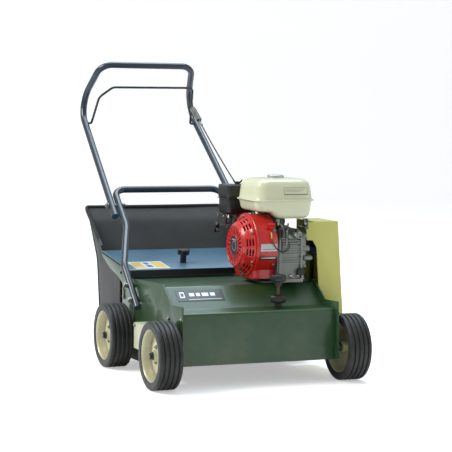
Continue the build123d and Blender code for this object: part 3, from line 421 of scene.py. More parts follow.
def softened(node, width, finish, angle=38, segments=3, melt=True):
    # a copy of a CAD solid with its hard edges rounded
    body = nodes[node]["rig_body"]
    mesh = nodes[node].data.copy()
    mesh.name = node + "Soft"
    shell = bmesh.new()
    shell.from_mesh(mesh)
    bmesh.ops.remove_doubles(shell, verts=shell.verts, dist=2e-6)
    if melt:
        bmesh.ops.dissolve_limit(shell, angle_limit=radians(0.4), verts=shell.verts, edges=shell.edges)
    shell.to_mesh(mesh)
    shell.free()
    if mesh.has_custom_normals:
        mesh.normals_split_custom_set([(0, 0, 0)] * len(mesh.loops))
    holder = bpy.data.objects.new(node + "Holder", mesh)
    scene.collection.objects.link(holder)
    bevel = holder.modifiers.new("round", "BEVEL")
    bevel.width = width / 1000
    bevel.segments = segments
    bevel.limit_method = "ANGLE"
    bevel.angle_limit = radians(angle)
    bevel.use_clamp_overlap = True
    bevel.miter_outer = "MITER_ARC"
    return addPiece(node + "Soft", plainMesh(holder), body, finish, [node], angle=26)


# geometry trees
def geometryTree(name, inputs):
    tree = bpy.data.node_groups.new(name, "GeometryNodeTree")
    tree.interface.new_socket("Geometry", in_out="OUTPUT", socket_type="NodeSocketGeometry")
    tree.interface.new_socket("Geometry", in_out="INPUT", socket_type="NodeSocketGeometry")
    for label, (kind, value) in inputs.items():
        socket = tree.interface.new_socket(label, in_out="INPUT", socket_type="NodeSocket" + kind)
        if value is not None:
            socket.default_value = value
    tree.interface.new_socket("Material", in_out="INPUT", socket_type="NodeSocketMaterial")
    return tree, tree.nodes.new("NodeGroupInput").outputs


def closeTree(tree, given, geometry):
    real = addNode(tree, "GeometryNodeRealizeInstances", {"Geometry": geometry}).outputs[0]
    done = addNode(tree, "GeometryNodeSetMaterial",
                   {"Geometry": real, "Material": given["Material"]}).outputs[0]
    wire(tree, tree.nodes.new("NodeGroupOutput").inputs[0], done)


def grown(name, tree, source, values, finish):
    # runs a tree on a source mesh or curve and gives back a plain mesh
    holder = bpy.data.objects.new(name + "Holder", source)
    scene.collection.objects.link(holder)
    modifier = holder.modifiers.new("grow", "NODES")
    modifier.node_group = tree
    wanted = dict(values, Material=materials[finish])
    for item in tree.interface.items_tree:
        if item.in_out == "INPUT" and item.name in wanted:
            modifier[item.identifier] = wanted[item.name]
    mesh = plainMesh(holder)
    mesh.name = name
    return mesh


def joined(tree, *parts):
    together = tree.nodes.new("GeometryNodeJoinGeometry")
    for part in parts:
        tree.links.new(part, together.inputs[0])
    return together.outputs[0]


def named(tree, label, kind):
    found = addNode(tree, "GeometryNodeInputNamedAttribute", data_type=kind)
    found.inputs["Name"].default_value = label
    return found.outputs["Attribute"]


# fasteners: a head on a washer at every point, facing along its own direction
def makeFastenerTree():
    tree, given = geometryTree("fasteners", {
        "Head Radius": ("Float", 0.006), "Head Height": ("Float", 0.005), "Head Sides": ("Int", 6),
        "Washer Radius": ("Float", 0.008), "Washer Height": ("Float", 0.0015), "Dome": ("Float", 0.75)})
    half = maths(tree, "DIVIDE", given["Washer Height"], 2.0)
    washer = addNode(tree, "GeometryNodeMeshCylinder", {"Vertices": 24, "Radius": given["Washer Radius"],
                                                        "Depth": given["Washer Height"]}).outputs[0]
    raised = addNode(tree, "ShaderNodeCombineXYZ", {"Z": half}).outputs[0]
    washer = addNode(tree, "GeometryNodeTransform", {"Geometry": washer, "Translation": raised}).outputs[0]
    side = maths(tree, "MULTIPLY", given["Head Height"], 0.72)
    lower = addNode(tree, "GeometryNodeMeshCylinder", {"Vertices": given["Head Sides"],
                                                       "Radius": given["Head Radius"],
                                                       "Depth": side}).outputs[0]
    lowerZ = maths(tree, "MULTIPLY_ADD", side, 0.5, given["Washer Height"])
    lower = addNode(tree, "GeometryNodeTransform", {
        "Geometry": lower,
        "Translation": addNode(tree, "ShaderNodeCombineXYZ", {"Z": lowerZ}).outputs[0]}).outputs[0]
    crown = maths(tree, "MULTIPLY", given["Head Height"], 0.28)
    topRadius = maths(tree, "MULTIPLY", given["Head Radius"], given["Dome"])
    upper = addNode(tree, "GeometryNodeMeshCone", {"Vertices": given["Head Sides"], "Radius Top": topRadius,
                                                   "Radius Bottom": given["Head Radius"],
                                                   "Depth": crown}).outputs[0]
    upperZ = maths(tree, "ADD", side, given["Washer Height"])
    upper = addNode(tree, "GeometryNodeTransform", {
        "Geometry": upper,
        "Translation": addNode(tree, "ShaderNodeCombineXYZ", {"Z": upperZ}).outputs[0]}).outputs[0]
    head = joined(tree, washer, lower, upper)
    turned = addNode(tree, "FunctionNodeAlignRotationToVector",
                     {"Vector": named(tree, "facing", "FLOAT_VECTOR")}, axis="Z").outputs[0]
    placed = addNode(tree, "GeometryNodeInstanceOnPoints", {
        "Points": given["Geometry"], "Instance": head, "Rotation": turned,
        "Scale": named(tree, "grow", "FLOAT")}).outputs[0]
    closeTree(tree, given, placed)
    return tree


# a closed profile of (x, radius) points turned about the X line through Centre
def makeLatheTree():
    tree, given = geometryTree("lathe", {"Profile Points": ("Int", 12), "Steps": ("Int", 96),
                                         "Centre": ("Vector", (0, 0, 0))})
    columns = maths(tree, "ADD", given["Steps"], 1.0)
    grid = addNode(tree, "GeometryNodeMeshGrid", {"Size X": 1.0, "Size Y": 1.0, "Vertices X": columns,
                                                  "Vertices Y": given["Profile Points"]}).outputs[0]
    here = addNode(tree, "GeometryNodeInputPosition").outputs[0]
    apart = addNode(tree, "ShaderNodeSeparateXYZ", {0: here}).outputs
    last = maths(tree, "SUBTRACT", given["Profile Points"], 1.0)
    row = maths(tree, "ROUND", maths(tree, "MULTIPLY", maths(tree, "ADD", apart["Y"], 0.5), last))
    sampled = addNode(tree, "GeometryNodeSampleIndex", data_type="FLOAT_VECTOR", domain="POINT")
    wire(tree, sampled.inputs["Geometry"], given["Geometry"])
    wire(tree, sampled.inputs["Value"], addNode(tree, "GeometryNodeInputPosition").outputs[0])
    wire(tree, sampled.inputs["Index"], row)
    profile = addNode(tree, "ShaderNodeSeparateXYZ", {0: sampled.outputs[0]}).outputs
    turn = maths(tree, "MULTIPLY", maths(tree, "ADD", apart["X"], 0.5), 2 * pi)
    place = addNode(tree, "ShaderNodeCombineXYZ", {
        "X": profile["X"], "Y": maths(tree, "MULTIPLY", profile["Y"], maths(tree, "COSINE", turn)),
        "Z": maths(tree, "MULTIPLY", profile["Y"], maths(tree, "SINE", turn))}).outputs[0]
    moved = addNode(tree, "ShaderNodeVectorMath", {0: place, 1: given["Centre"]}).outputs[0]
    shaped = addNode(tree, "GeometryNodeSetPosition", {"Geometry": grid, "Position": moved}).outputs[0]
    closed = addNode(tree, "GeometryNodeMergeByDistance", {"Geometry": shaped, "Distance": 1e-6}).outputs[0]
    closeTree(tree, given, closed)
    return tree


# a round tube along a curve
def makeTubeTree():
    tree, given = geometryTree("roundTube", {"Radius": ("Float", 0.002), "Sides": ("Int", 12)})
    ring = addNode(tree, "GeometryNodeCurvePrimitiveCircle", {"Resolution": given["Sides"],
                                                             "Radius": given["Radius"]}).outputs[0]
    tube = addNode(tree, "GeometryNodeCurveToMesh", {"Curve": given["Geometry"], "Profile Curve": ring,
                                                     "Fill Caps": True}).outputs[0]
    closeTree(tree, given, tube)
    return tree


# stitches: short thread humps at an even pitch along a curve
def makeStitchTree():
    tree, given = geometryTree("stitches", {"Pitch": ("Float", 0.006), "Length": ("Float", 0.004),
                                            "Thickness": ("Float", 0.0007)})
    steps = addNode(tree, "GeometryNodeCurveToPoints", {"Curve": given["Geometry"], "Length": given["Pitch"]},
                    mode="LENGTH")
    grain = addNode(tree, "GeometryNodeMeshIcoSphere",
                    {"Radius": given["Thickness"], "Subdivisions": 1}).outputs[0]
    stretch = maths(tree, "DIVIDE", maths(tree, "DIVIDE", given["Length"], 2.0), given["Thickness"])
    long = addNode(tree, "ShaderNodeCombineXYZ", {"X": 1.0, "Y": 1.0, "Z": stretch}).outputs[0]
    turned = addNode(tree, "FunctionNodeAlignRotationToVector", {"Vector": steps.outputs["Tangent"]},
                     axis="Z").outputs[0]
    placed = addNode(tree, "GeometryNodeInstanceOnPoints",
                     {"Points": steps.outputs["Points"], "Instance": grain,
                                                            "Rotation": turned, "Scale": long}).outputs[0]
    closeTree(tree, given, placed)
    return tree


# ribs: equal bars in a row
def makeRibTree():
    tree, given = geometryTree("ribRow", {"Count": ("Int", 4), "Start": ("Vector", (0, 0, 0)),
                                          "Pitch": ("Vector", (0, 0, 0.01)),
                                          "Size": ("Vector", (0.05, 0.01, 0.002))})
    row = addNode(tree, "GeometryNodeMeshLine", {"Count": given["Count"], "Start Location": given["Start"],
                                                 "Offset": given["Pitch"]}, mode="OFFSET").outputs[0]
    bar = addNode(tree, "GeometryNodeMeshCube", {"Size": given["Size"]}).outputs[0]
    placed = addNode(tree, "GeometryNodeInstanceOnPoints", {"Points": row, "Instance": bar}).outputs[0]
    closeTree(tree, given, placed)
    return tree


# a close-wound coil standing on its local Z
def makeCoilTree():
    tree, given = geometryTree("coil", {"Coil Radius": ("Float", 0.008), "Height": ("Float", 0.05),
                                        "Turns": ("Float", 14.0), "Wire Radius": ("Float", 0.0015)})
    line = addNode(tree, "GeometryNodeCurveSpiral", {"Resolution": 20, "Rotations": given["Turns"],
                                                     "Start Radius": given["Coil Radius"],
                                                     "End Radius": given["Coil Radius"],
                                                     "Height": given["Height"]}).outputs[0]
    ring = addNode(tree, "GeometryNodeCurvePrimitiveCircle",
                   {"Resolution": 10, "Radius": given["Wire Radius"]}).outputs[0]
    tube = addNode(tree, "GeometryNodeCurveToMesh",
                   {"Curve": line, "Profile Curve": ring, "Fill Caps": True}).outputs[0]
    closeTree(tree, given, tube)
    return tree


fastenerTree, latheTree, tubeTree = makeFastenerTree(), makeLatheTree(), makeTubeTree()
stitchTree, ribTree, coilTree = makeStitchTree(), makeRibTree(), makeCoilTree()


def headSizes(radius, height, washer, thick, sides=6):
    # millimetres: the head's radius and height, then the washer's
    return {"Head Radius": radius / 1000, "Head Height": height / 1000, "Head Sides": sides,
            "Washer Radius": washer / 1000, "Washer Height": thick / 1000}


def fasteners(name, body, finish, places, sizes):
    # places: (point, direction, scale) each, points in the machine's frame
    mesh = meshFrom(name, [place[0] for place in places], [])
    mesh.attributes.new("facing", "FLOAT_VECTOR", "POINT")
    mesh.attributes.new("grow", "FLOAT", "POINT")
    # looked up again by name, because adding one moves the other
    for i, (_, direction, scale) in enumerate(places):
        mesh.attributes["facing"].data[i].vector = Vector(direction).normalized()
        mesh.attributes["grow"].data[i].value = scale
    return addPiece(name, tidyNormals(grown(name, fastenerTree, mesh, sizes, finish)), body, finish)


def turned(name, body, finish, centre, profile, steps=96, replaced=(), angle=40):
    # profile: closed list of (x mm, radius mm); centre: (y mm, z mm)
    points = [(x / 1000, r / 1000, 0) for x, r in profile + profile[:1]]
    values = {"Profile Points": len(points), "Steps": steps, "Centre": tuple(spot(0, *centre))}
    mesh = grown(name, latheTree, meshFrom(name, points, []), values, finish)
    return addPiece(name, tidyNormals(mesh), body, finish, replaced, angle)


def curveThrough(name, points, order=3, cyclic=False, resolution=12):
    data = bpy.data.curves.new(name, "CURVE")
    data.dimensions = "3D"
    data.resolution_u = resolution
    spline = data.splines.new("NURBS")
    spline.points.add(len(points) - 1)
    for place, point in zip(spline.points, points):
        place.co = (*point, 1)
    spline.order_u = order
    spline.use_endpoint_u = not cyclic
    spline.use_cyclic_u = cyclic
    return data


def tube(name, body, finish, points, radius, sides=12, order=3, replaced=()):
    mesh = grown(name, tubeTree, curveThrough(name, points, order),
                 {"Radius": radius / 1000, "Sides": sides}, finish)
    return addPiece(name, tidyNormals(mesh, 1e-7), body, finish, replaced, 45)


# sheet metal and castings: CAD solids with their edges rounded, width in millimetres
softEdges = {
    "side_plate_left": (1.2, "greenPaint"), "side_plate_right": (1.2, "greenPaint"),
    "hood": (0.8, "greenPaint"), "engine_plate": (0.8, "greenPaint"), "deflector": (0.8, "lidPaint"),
    "belt_guard": (0.9, "guardPaint"), "bearing_cover": (2.2, "coverPaint"),
    "front_axle_carrier": (1.0, "greenPaint"), "crankcase": (1.6, "castAluminium"),
    "side_cover": (2.4, "castAluminium"), "cylinder_head": (0.6, "castAluminium"),
    "fan_cover": (2.0, "redPaint"), "recoil_cover": (0.35, "redPaint"),
    "air_cleaner_base": (3.0, "blackPlastic"), "air_cleaner_cover": (5.0, "blackPlastic"),
    "carburettor": (1.5, "castAluminium"), "muffler": (3.0, "bareSteel"), "tank_stays": (0.8, "staySteel"),
    "deflector_knob": (2.2, "blackPlastic"), "recoil_grip": (2.5, "blackPlastic"),
    "oil_filler_cap": (1.0, "blackPlastic"), "engine_switch": (1.2, "redPaint"),
    "throttle_lever": (0.5, "zincSteel"), "choke_lever": (0.5, "zincSteel"), "bag_hooks": (0.4, "zincSteel"),
}
for node, (width, finish) in softEdges.items():
    softened(node, width, finish, melt=node != "recoil_cover")

# solids whose own shape is kept
keptFinish = {
    "deck_tie_bars": "greenPaint", "rear_axle": "bareSteel", "front_axle": "bareSteel",
    "depth_screw": "rodSteel",
    "rotor_shaft": "bareSteel", "rotor_blades": "bareSteel", "rotor_pulley": "greyIron",
    "engine_pulley": "greyIron", "rotor_bearings": "greyIron", "drive_belt": "beltRubber",
    "idler_arm": "bareSteel", "idler_pulley": "greyIron", "crankshaft": "bareSteel",
    "flywheel_fan": "castAluminium", "lower_handle": "bluePaint", "upper_handle": "bluePaint",
    "handle_bolts": "zincSteel", "handle_pivots": "zincSteel", "bail_lever": "blackSteel",
    "bag_frame": "blackSteel", "fuel_cap": "foilSilver",
}
for node, finish in keptFinish.items():
    data = nodes[node].data
    for i in range(max(1, len(data.materials))):
        if len(data.materials) <= i:
            data.materials.append(materials[finish])
        else:
            data.materials[i] = materials[finish]
print("metalwork finished,", len(softEdges) + len(keptFinish), "solids")


# wheels: ribbed tyres and dished rims, both turned profiles
wheel = {"inner": 262.0, "width": 72.0, "radius": 100.0, "bead": 76.0, "ribs": 5, "groove": 4.2, "depth": 5.2,
         "round": 1.3, "shoulder": 7.0, "steps": 128}
corners = {"front_left": (-1, "front_axle"), "front_right": (1, "front_axle"),
           "rear_left": (-1, "rear_axle"), "rear_right": (1, "rear_axle")}


def tyreProfile(look):
    # from the inner bead over the tread to the outer bead, x counted from the wheel's inner face
    wide, top, bead, groove = look["width"], look["radius"], look["bead"], look["groove"]
    r, s = look["round"], look["shoulder"]
    wall = [(3.0, bead), (1.2, bead + 1.5), (0.6, bead + 5), (1.4, bead + 7), (0.2, bead + 12),
            (0.6, top - s)]
    turnPoints = [(0.6 + s - s * cos(a), top - s + s * sin(a)) for a in (0.35, 0.75, 1.15)]
    line = wall + turnPoints
    pitch = (wide - 2 * s) / (look["ribs"] - 1)
    for k in range(look["ribs"] - 1):
        middle = s + (k + 0.5) * pitch
        crown = top - 0.5 * abs(2 * middle / wide - 1) ** 2
        a, b = middle - groove / 2, middle + groove / 2
        line += [(a - 2 * r, crown), (a - r * 0.6, crown - 0.25 * r), (a, crown - 1.1 * r),
                 (a + 0.5, crown - look["depth"] + 0.6), (a + 1.2, crown - look["depth"]),
                 (b - 1.2, crown - look["depth"]), (b - 0.5, crown - look["depth"] + 0.6),
                 (b, crown - 1.1 * r), (b + r * 0.6, crown - 0.25 * r), (b + 2 * r, crown)]
    line += [(wide - x, y) for x, y in reversed(wall + turnPoints)]
    return line


def placed(profile, side):
    return [(side * (wheel["inner"] + x), radius) for x, radius in profile]


for corner, (side, axle) in corners.items():
    wheelY = (sum(c.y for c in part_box("tyre_" + corner)) / 2 - frontY) * 1000
    wheelZ = sum(c.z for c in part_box("tyre_" + corner)) / 2 * 1000
    centre = (wheelY, wheelZ)
    body = "wheel_" + corner
    turned("tread_" + corner, body, "tyreRubber", centre, placed(tyreProfile(wheel), side), wheel["steps"],
           ["tyre_" + corner], 50)
    turned("barrel_" + corner, body, "rimPaint", centre,
           placed([(3, 75.6), (1.6, 78.8), (2.8, 79.8), (5.6, 78), (8, 75.8), (64, 75.8), (66.4, 78),
                   (69.2, 79.8), (70.6, 78.8), (68.6, 76), (66, 73.6), (58, 72.6), (8, 72.6), (5, 73.6)],
                  side), wheel["steps"])
    turned("disc_" + corner, body, "rimPaint", centre,
           placed([(30, 72.6), (38, 70), (41.5, 66), (42.5, 58), (45, 50), (45, 41), (42.5, 36),
                   (42, 28), (43.5, 22), (48, 17.5), (59.5, 15.5), (60, 14), (60, 8.1), (15, 8.1), (15, 14),
                   (16, 15.5), (38, 15.5), (39.5, 22), (38.5, 29), (39.5, 37.5), (42, 42), (42, 49),
                   (39.5, 57), (38, 64), (35, 68), (28, 70.4)],
                  side), wheel["steps"], ["rim_" + corner])
    ring = [(spot(side * (wheel["inner"] + 42.4), wheelY + 31 * cos(a), wheelZ + 31 * sin(a)),
             (side, 0, 0), 1.0)
            for a in (pi / 4 + k * pi / 2 for k in range(4))]
    fasteners("rimBolts_" + corner, body, "zincSteel", ring,
              headSizes(4.5, 4, 6.2, 1))
    axleBody = "front_gear" if axle == "front_axle" else "deck"
    fasteners("axleCap_" + corner, axleBody, "blackSteel",
              [(spot(side * (wheel["inner"] + 64.6), wheelY, wheelZ), (side, 0, 0), 1.0)],
              headSizes(9.5, 5.5, 13.5, 1.6))
print("wheels turned")


# fuel tank: rounded sections lofted, with a rolled seam and a lower sump on the right
tank = {"x": (44.0, 244.0), "y": (112.0, 297.0), "seam": 534.0, "top": 600.0, "shelf": 498.0, "sump": 21.0,
        "sumpFrom": 96.0, "sumpTo": 128.0, "corner": 34.0, "around": 96}


def roundedRing(middle, halfX, halfY, corner, z, count):
    # points round a rounded rectangle, a quarter of them on each side and its corner
    points, quarter = [], count // 4
    straight = quarter // 3
    signs = ((1, 1), (-1, 1), (-1, -1), (1, -1))
    for turn in range(4):
        a = turn * pi / 2
        signX, signY = signs[turn]
        nextX, nextY = signs[(turn + 1) % 4]
        centreX, centreY = middle[0] + signX * (halfX - corner), middle[1] + signY * (halfY - corner)
        for k in range(quarter - straight):
            b = a + k / (quarter - straight - 1) * pi / 2
            points.append((centreX + corner * cos(b), centreY + corner * sin(b), z))
        end = Vector(points[-1])
        b = a + pi / 2
        goal = Vector((middle[0] + nextX * (halfX - corner) + corner * cos(b),
                       middle[1] + nextY * (halfY - corner) + corner * sin(b), z))
        points += [tuple(end.lerp(goal, (k + 1) / (straight + 1))) for k in range(straight)]
    return points


def ringLoft(name, rings, closeFirst=True, closeLast=True):
    count = len(rings[0])
    points = [p for ring in rings for p in ring]
    faces = []
    for i in range(len(rings) - 1):
        for k in range(count):
            a, b = i * count + k, i * count + (k + 1) % count
            faces.append((a, b, b + count, a + count))
    if closeFirst:
        faces.append(tuple(reversed(range(count))))
    if closeLast:
        faces.append(tuple(range((len(rings) - 1) * count, len(rings) * count)))
    return tidyNormals(meshFrom(name, points, faces), 1e-7)


def makeTank(look):
    middle = (sum(look["x"]) / 2, sum(look["y"]) / 2)
    halfX, halfY = (look["x"][1] - look["x"][0]) / 2, (look["y"][1] - look["y"][0]) / 2
    seam, top, shelf = look["seam"], look["top"], look["shelf"]
    sections = [  # z, how far in from the seam's edge
        (shelf, 40), (shelf + 0.6, 26), (shelf + 2.2, 18), (shelf + 5.5, 12.5), (shelf + 11, 9.6),
        (seam - 8, 6.6), (seam - 4.6, 6.0), (seam - 3.2, 4.8), (seam - 2.6, 1.2), (seam - 1.6, 0.2),
        (seam, 0), (seam + 1.6, 0.2), (seam + 2.6, 1.2), (seam + 3.2, 4.6), (seam + 5, 5.6), (seam + 20, 7.2),
        (top - 30, 9.2), (top - 20, 11.2), (top - 13, 14.5), (top - 7.5, 20), (top - 3.6, 28),
        (top - 1.4, 38), (top - 0.3, 50), (top, 60),
    ]
    rings = []
    for z, inset in sections:
        corner = max(18.0, look["corner"] - inset * 0.3)
        ring = roundedRing(middle, halfX - inset, halfY - inset, corner, z, look["around"])
        low = max(0.0, min(1.0, (seam - 4 - z) / (seam - 4 - shelf)))
        lowered = []
        for x, y, height in ring:
            share = max(0.0, min(1.0, (x - look["sumpFrom"]) / (look["sumpTo"] - look["sumpFrom"])))
            share = share * share * (3 - 2 * share)
            lowered.append(spot(x, y, height - look["sump"] * share * low ** 1.5))
        rings.append(lowered)
    mesh = ringLoft("tankShell", rings)
    return addPiece("tankShell", mesh, "deck", "tankPaint", ["fuel_tank"], 40)


makeTank(tank)
print("tank lofted")


def turnedUpright(name, body, finish, centre, profile, steps=64, replaced=(), angle=35):
    # profile of (height, radius) about a vertical line through centre (x, y, z)
    points, faces = [], []
    count = len(profile)
    for k in range(steps):
        a = 2 * pi * k / steps
        for height, radius in profile:
            points.append(spot(centre[0] + radius * cos(a), centre[1] + radius * sin(a), centre[2] + height))
    for k in range(steps):
        for i in range(count):
            a, b = k * count + i, k * count + (i + 1) % count
            c = (k + 1) % steps * count
            faces.append((a, b, c + (i + 1) % count, c + i))
    return addPiece(name, tidyNormals(meshFrom(name, points, faces), 1e-7), body, finish, replaced, angle)


# filler cap: a scalloped lid over the neck
capLook = {"x": 144.0, "y": 204.5, "base": 594.6, "radius": 25.6, "scallops": 16, "bite": 1.1}


def makeFuelCap(look):
    levels = [(0, 0.97), (1.2, 1.0), (10.5, 1.0), (12.4, 0.96), (13.6, 0.86), (14.0, 0.5), (13.4, 0.42),
              (13.4, 0.05)]
    rings = []
    for height, share in levels:
        ring = []
        for k in range(128):
            a = 2 * pi * k / 128
            bite = look["bite"] * max(0.0, cos(look["scallops"] * a)) if 1 < height < 12 else 0
            r = look["radius"] * share - bite
            ring.append(spot(look["x"] + r * cos(a), look["y"] + r * sin(a), look["base"] + height))
        rings.append(ring)
    addPiece("fuelCapLid", ringLoft("fuelCapLid", rings), "fuel_cap", "foilSilver", ["fuel_cap"], 35)


makeFuelCap(capLook)


# hand knobs with rounded lobes, each standing where its own solid stands
knobLook = {"lobes": 8, "bite": 0.09, "shank": 0.42}
knobs = {"depth_nut_knob": "depth_nut", "lock_knob": "lock_knob"}


def makeKnob(node, body, look):
    low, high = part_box(node)
    middle, tall = (low + high) / 2, high.z - low.z
    wide = (high.x - low.x) / 2
    levels = [(0.0, look["shank"]), (0.34, look["shank"]), (0.4, 0.78), (0.46, 0.94),
              (0.56, 1.0), (0.78, 1.0), (0.9, 0.95), (0.97, 0.84), (1.0, 0.6)]
    rings = []
    for height, share in levels:
        ring = []
        for k in range(96):
            a = 2 * pi * k / 96
            lobe = 1 - look["bite"] * (0.5 - 0.5 * cos(look["lobes"] * a)) * (share > 0.7)
            reach = wide * share * lobe
            ring.append((middle.x + reach * cos(a), middle.y + reach * sin(a), low.z + tall * height))
        rings.append(ring)
    addPiece(node + "Lobed", ringLoft(node + "Lobed", rings), body, "blackPlastic", [node], 30)


for node, body in knobs.items():
    makeKnob(node, body, knobLook)
print("knobs shaped,", len(knobs))


# labels and badges are thin plates laid on a surface given by three corners
def plate(name, body, finish, corner, across, up, thick=0.4):
    corner, across, up = Vector(corner), Vector(across), Vector(up)
    out = across.cross(up).normalized() * thick / 1000
    ring = [corner, corner + across, corner + across + up, corner + up]
    points = ring + [p + out for p in ring]
    faces = [(3, 2, 1, 0), (4, 5, 6, 7), (0, 1, 5, 4), (1, 2, 6, 5), (2, 3, 7, 6), (3, 0, 4, 7)]
    return addPiece(name, tidyNormals(meshFrom(name, points, faces)), body, finish)


def plateGroup(name, body, surface, outline, parts):
    # outline: left, low, right and high on the surface, in millimetres
    # parts: (suffix, finish, left, low, right, high as shares of the outline, thickness in mm)
    corner = surface(outline[0], outline[1])
    across, up = surface(outline[2], outline[1]) - corner, surface(outline[0], outline[3]) - corner
    for suffix, finish, left, low, right, high, thick in parts:
        plate(name + suffix, body, finish, corner + across * left + up * low, across * (right - left),
              up * (high - low), thick)


# where the labelled surfaces run, and how far a label stands off them
lid = {"front": 434.0, "back": 720.0, "low": 301.6, "high": 336.0, "proud": 1.45}
slope = {"front": 66.0, "back": 140.0, "low": 219.0, "high": 279.5, "proud": 1.9}
tankFace = {"inset": 7.2, "proud": 0.7, "level": 554.0, "lean": 0.16}
lidRise = (lid["high"] - lid["low"]) / (lid["back"] - lid["front"])
slopeRise = (slope["high"] - slope["low"]) / (slope["back"] - slope["front"])


def onLid(x, y):
    return spot(x, y, lid["low"] + lid["proud"] + (y - lid["front"]) * lidRise)


def onSlope(x, z):
    return spot(x, slope["front"] + (z - slope["low"] - slope["proud"]) / slopeRise, z)


plateGroup("lidLabel", "deflector", onLid, (-222, 442, -108, 540), [
    ("Base", "labelWhite", 0.0, 0.0, 1.0, 1.0, 0.3), ("Left", "labelYellow", 0.04, 0.12, 0.34, 0.9, 0.4),
    ("Middle", "labelBlue", 0.4, 0.2, 0.58, 0.5, 0.4), ("Square", "labelBlue", 0.42, 0.58, 0.56, 0.86, 0.4),
    ("Right", "labelYellow", 0.64, 0.12, 0.96, 0.9, 0.4)])
plateGroup("deckBadge", "deck", onSlope, (-211, 242, -62, 271), [
    ("Base", "badgeDark", 0.0, 0.0, 1.0, 1.0, 0.8), ("Rule", "foilSilver", 0.24, 0.12, 0.94, 0.16, 1.0),
    ("Bar1", "foilSilver", 0.27, 0.42, 0.38, 0.7, 1.0), ("Bar2", "foilSilver", 0.42, 0.42, 0.5, 0.7, 1.0),
    ("Bar3", "foilSilver", 0.54, 0.42, 0.68, 0.7, 1.0), ("Bar4", "foilSilver", 0.72, 0.42, 0.82, 0.7, 1.0),
    ("Mark", "foilSilver", 0.07, 0.3, 0.17, 0.8, 1.0), ("MarkHole", "badgeDark", 0.09, 0.4, 0.15, 0.7, 1.2)])


# painted shade: a black strip laid over the lid's front flange, where the flange faces away from the light
lidEdge = {"half": 243.6, "y": 434.0, "low": 281.0, "high": 300.6}
plate("lidFrontShadeStrip", "deflector", "blackSteel", spot(-lidEdge["half"], lidEdge["y"] - 0.2, lidEdge["low"]),
      (2 * lidEdge["half"] / 1000, 0, 0), (0, 0, (lidEdge["high"] - lidEdge["low"]) / 1000), 1.2)


def onTank(x, z):
    out = tank["y"][0] + tankFace["inset"] - tankFace["proud"] + (z - tankFace["level"]) * tankFace["lean"]
    return spot(x, out, z)


plateGroup("tankLabel", "deck", onTank, (136, 551, 214, 573), [
    ("Edge", "labelGrey", 0.0, 0.0, 1.0, 1.0, 0.5), ("Face", "tankPaint", 0.012, 0.13, 0.988, 0.965, 0.8),
    ("Line1", "labelGrey", 0.06, 0.76, 0.86, 0.8, 0.95), ("Line2", "labelGrey", 0.06, 0.58, 0.82, 0.62, 0.95),
    ("Line3", "labelGrey", 0.06, 0.4, 0.7, 0.44, 0.95)])


# two foil labels bent round the front of the fan housing
crankY, crankZ, fanRadius = 203.0, 393.0, 97.0


def bentPlate(name, body, finish, left, right, lowAngle, highAngle, radius, thick, steps=14):
    # angles in degrees above the forward direction
    points, faces = [], []
    for r in (radius, radius + thick):
        for k in range(steps + 1):
            a = radians(lowAngle + (highAngle - lowAngle) * k / steps)
            for x in (left, right):
                points.append(spot(x, crankY - r * cos(a), crankZ + r * sin(a)))
    row = 2 * (steps + 1)
    for k in range(steps):
        a = 2 * k
        faces += [(a, a + 1, a + 3, a + 2), (row + a, row + a + 2, row + a + 3, row + a + 1),
                  (a, a + 2, row + a + 2, row + a), (a + 1, row + a + 1, row + a + 3, a + 3)]
    faces += [(0, row, row + 1, 1), (2 * steps, 2 * steps + 1, row + 2 * steps + 1, row + 2 * steps)]
    return addPiece(name, tidyNormals(meshFrom(name, points, faces)), body, finish)


bentPlate("fanLabelUpper", "deck", "foilSilver", 57, 110, -6, 7, fanRadius + 0.1, 0.35)
bentPlate("fanLabelUpperBar", "deck", "labelGrey", 62, 104, -3.5, -2, fanRadius + 0.3, 0.3)
bentPlate("fanLabelLower", "deck", "badgeDark", 55, 111, -23, -16, fanRadius + 0.1, 0.35)
bentPlate("fanLabelLowerBar", "deck", "foilSilver", 59, 106, -20, -17.5, fanRadius + 0.3, 0.3)

# rims on the fan housing and the starter cover
turned("fanLip", "deck", "redPaint", (crankY, crankZ),
       [(45.2, 96.4), (45.2, 98.6), (46.2, 99.6), (49.6, 99.6), (50.8, 98.6), (51.4, 96.4)], 128)
turned("starterRing", "deck", "redPaint", (crankY, crankZ),
       [(9.2, 59.5), (8.6, 60.2), (8.6, 62.2), (9.6, 63.4), (11, 63.4), (11, 59.5)], 128)

# starter emblem: a dark disc in a thin ring, with a silver circle and a short bar
turned("starterEmblem", "deck", "badgeDark", (crankY, crankZ),
       [(10.2, 0.05), (8.4, 0.05), (8.3, 22), (8.6, 28), (9.4, 30), (10.2, 30.4)], 96)
turned("starterEmblemRing", "deck", "redPaint", (crankY, crankZ),
       [(10.2, 30.2), (8.4, 30.4), (7.8, 31.2), (7.9, 32.2), (8.8, 32.8), (10.2, 32.8)], 96)
turned("starterEmblemCircle", "deck", "foilSilver", (crankY, crankZ),
       [(8.5, 13), (8.05, 13.2), (8.05, 15.4), (8.5, 15.6)], 96)
plate("starterEmblemBar", "deck", "foilSilver", spot(8.5, crankY + 17, crankZ + 17), (0, -0.034, 0),
      (0, 0, 0.004), 0.5)
print("labels and emblem laid")

# engine fasteners
toFront, toLeft, toRight, toTop = (0, -1, 0), (-1, 0, 0), (1, 0, 0), (0, 0, 1)
caseBolts = {"x": 213.2, "y": 205.0, "z": 377.0, "halfY": 60.0, "halfZ": 46.0}


def ringPlaces(x, radius, angles, direction, scale=1.0):
    return [(spot(x, crankY + radius * cos(radians(a)), crankZ + radius * sin(radians(a))), direction, scale)
            for a in angles]


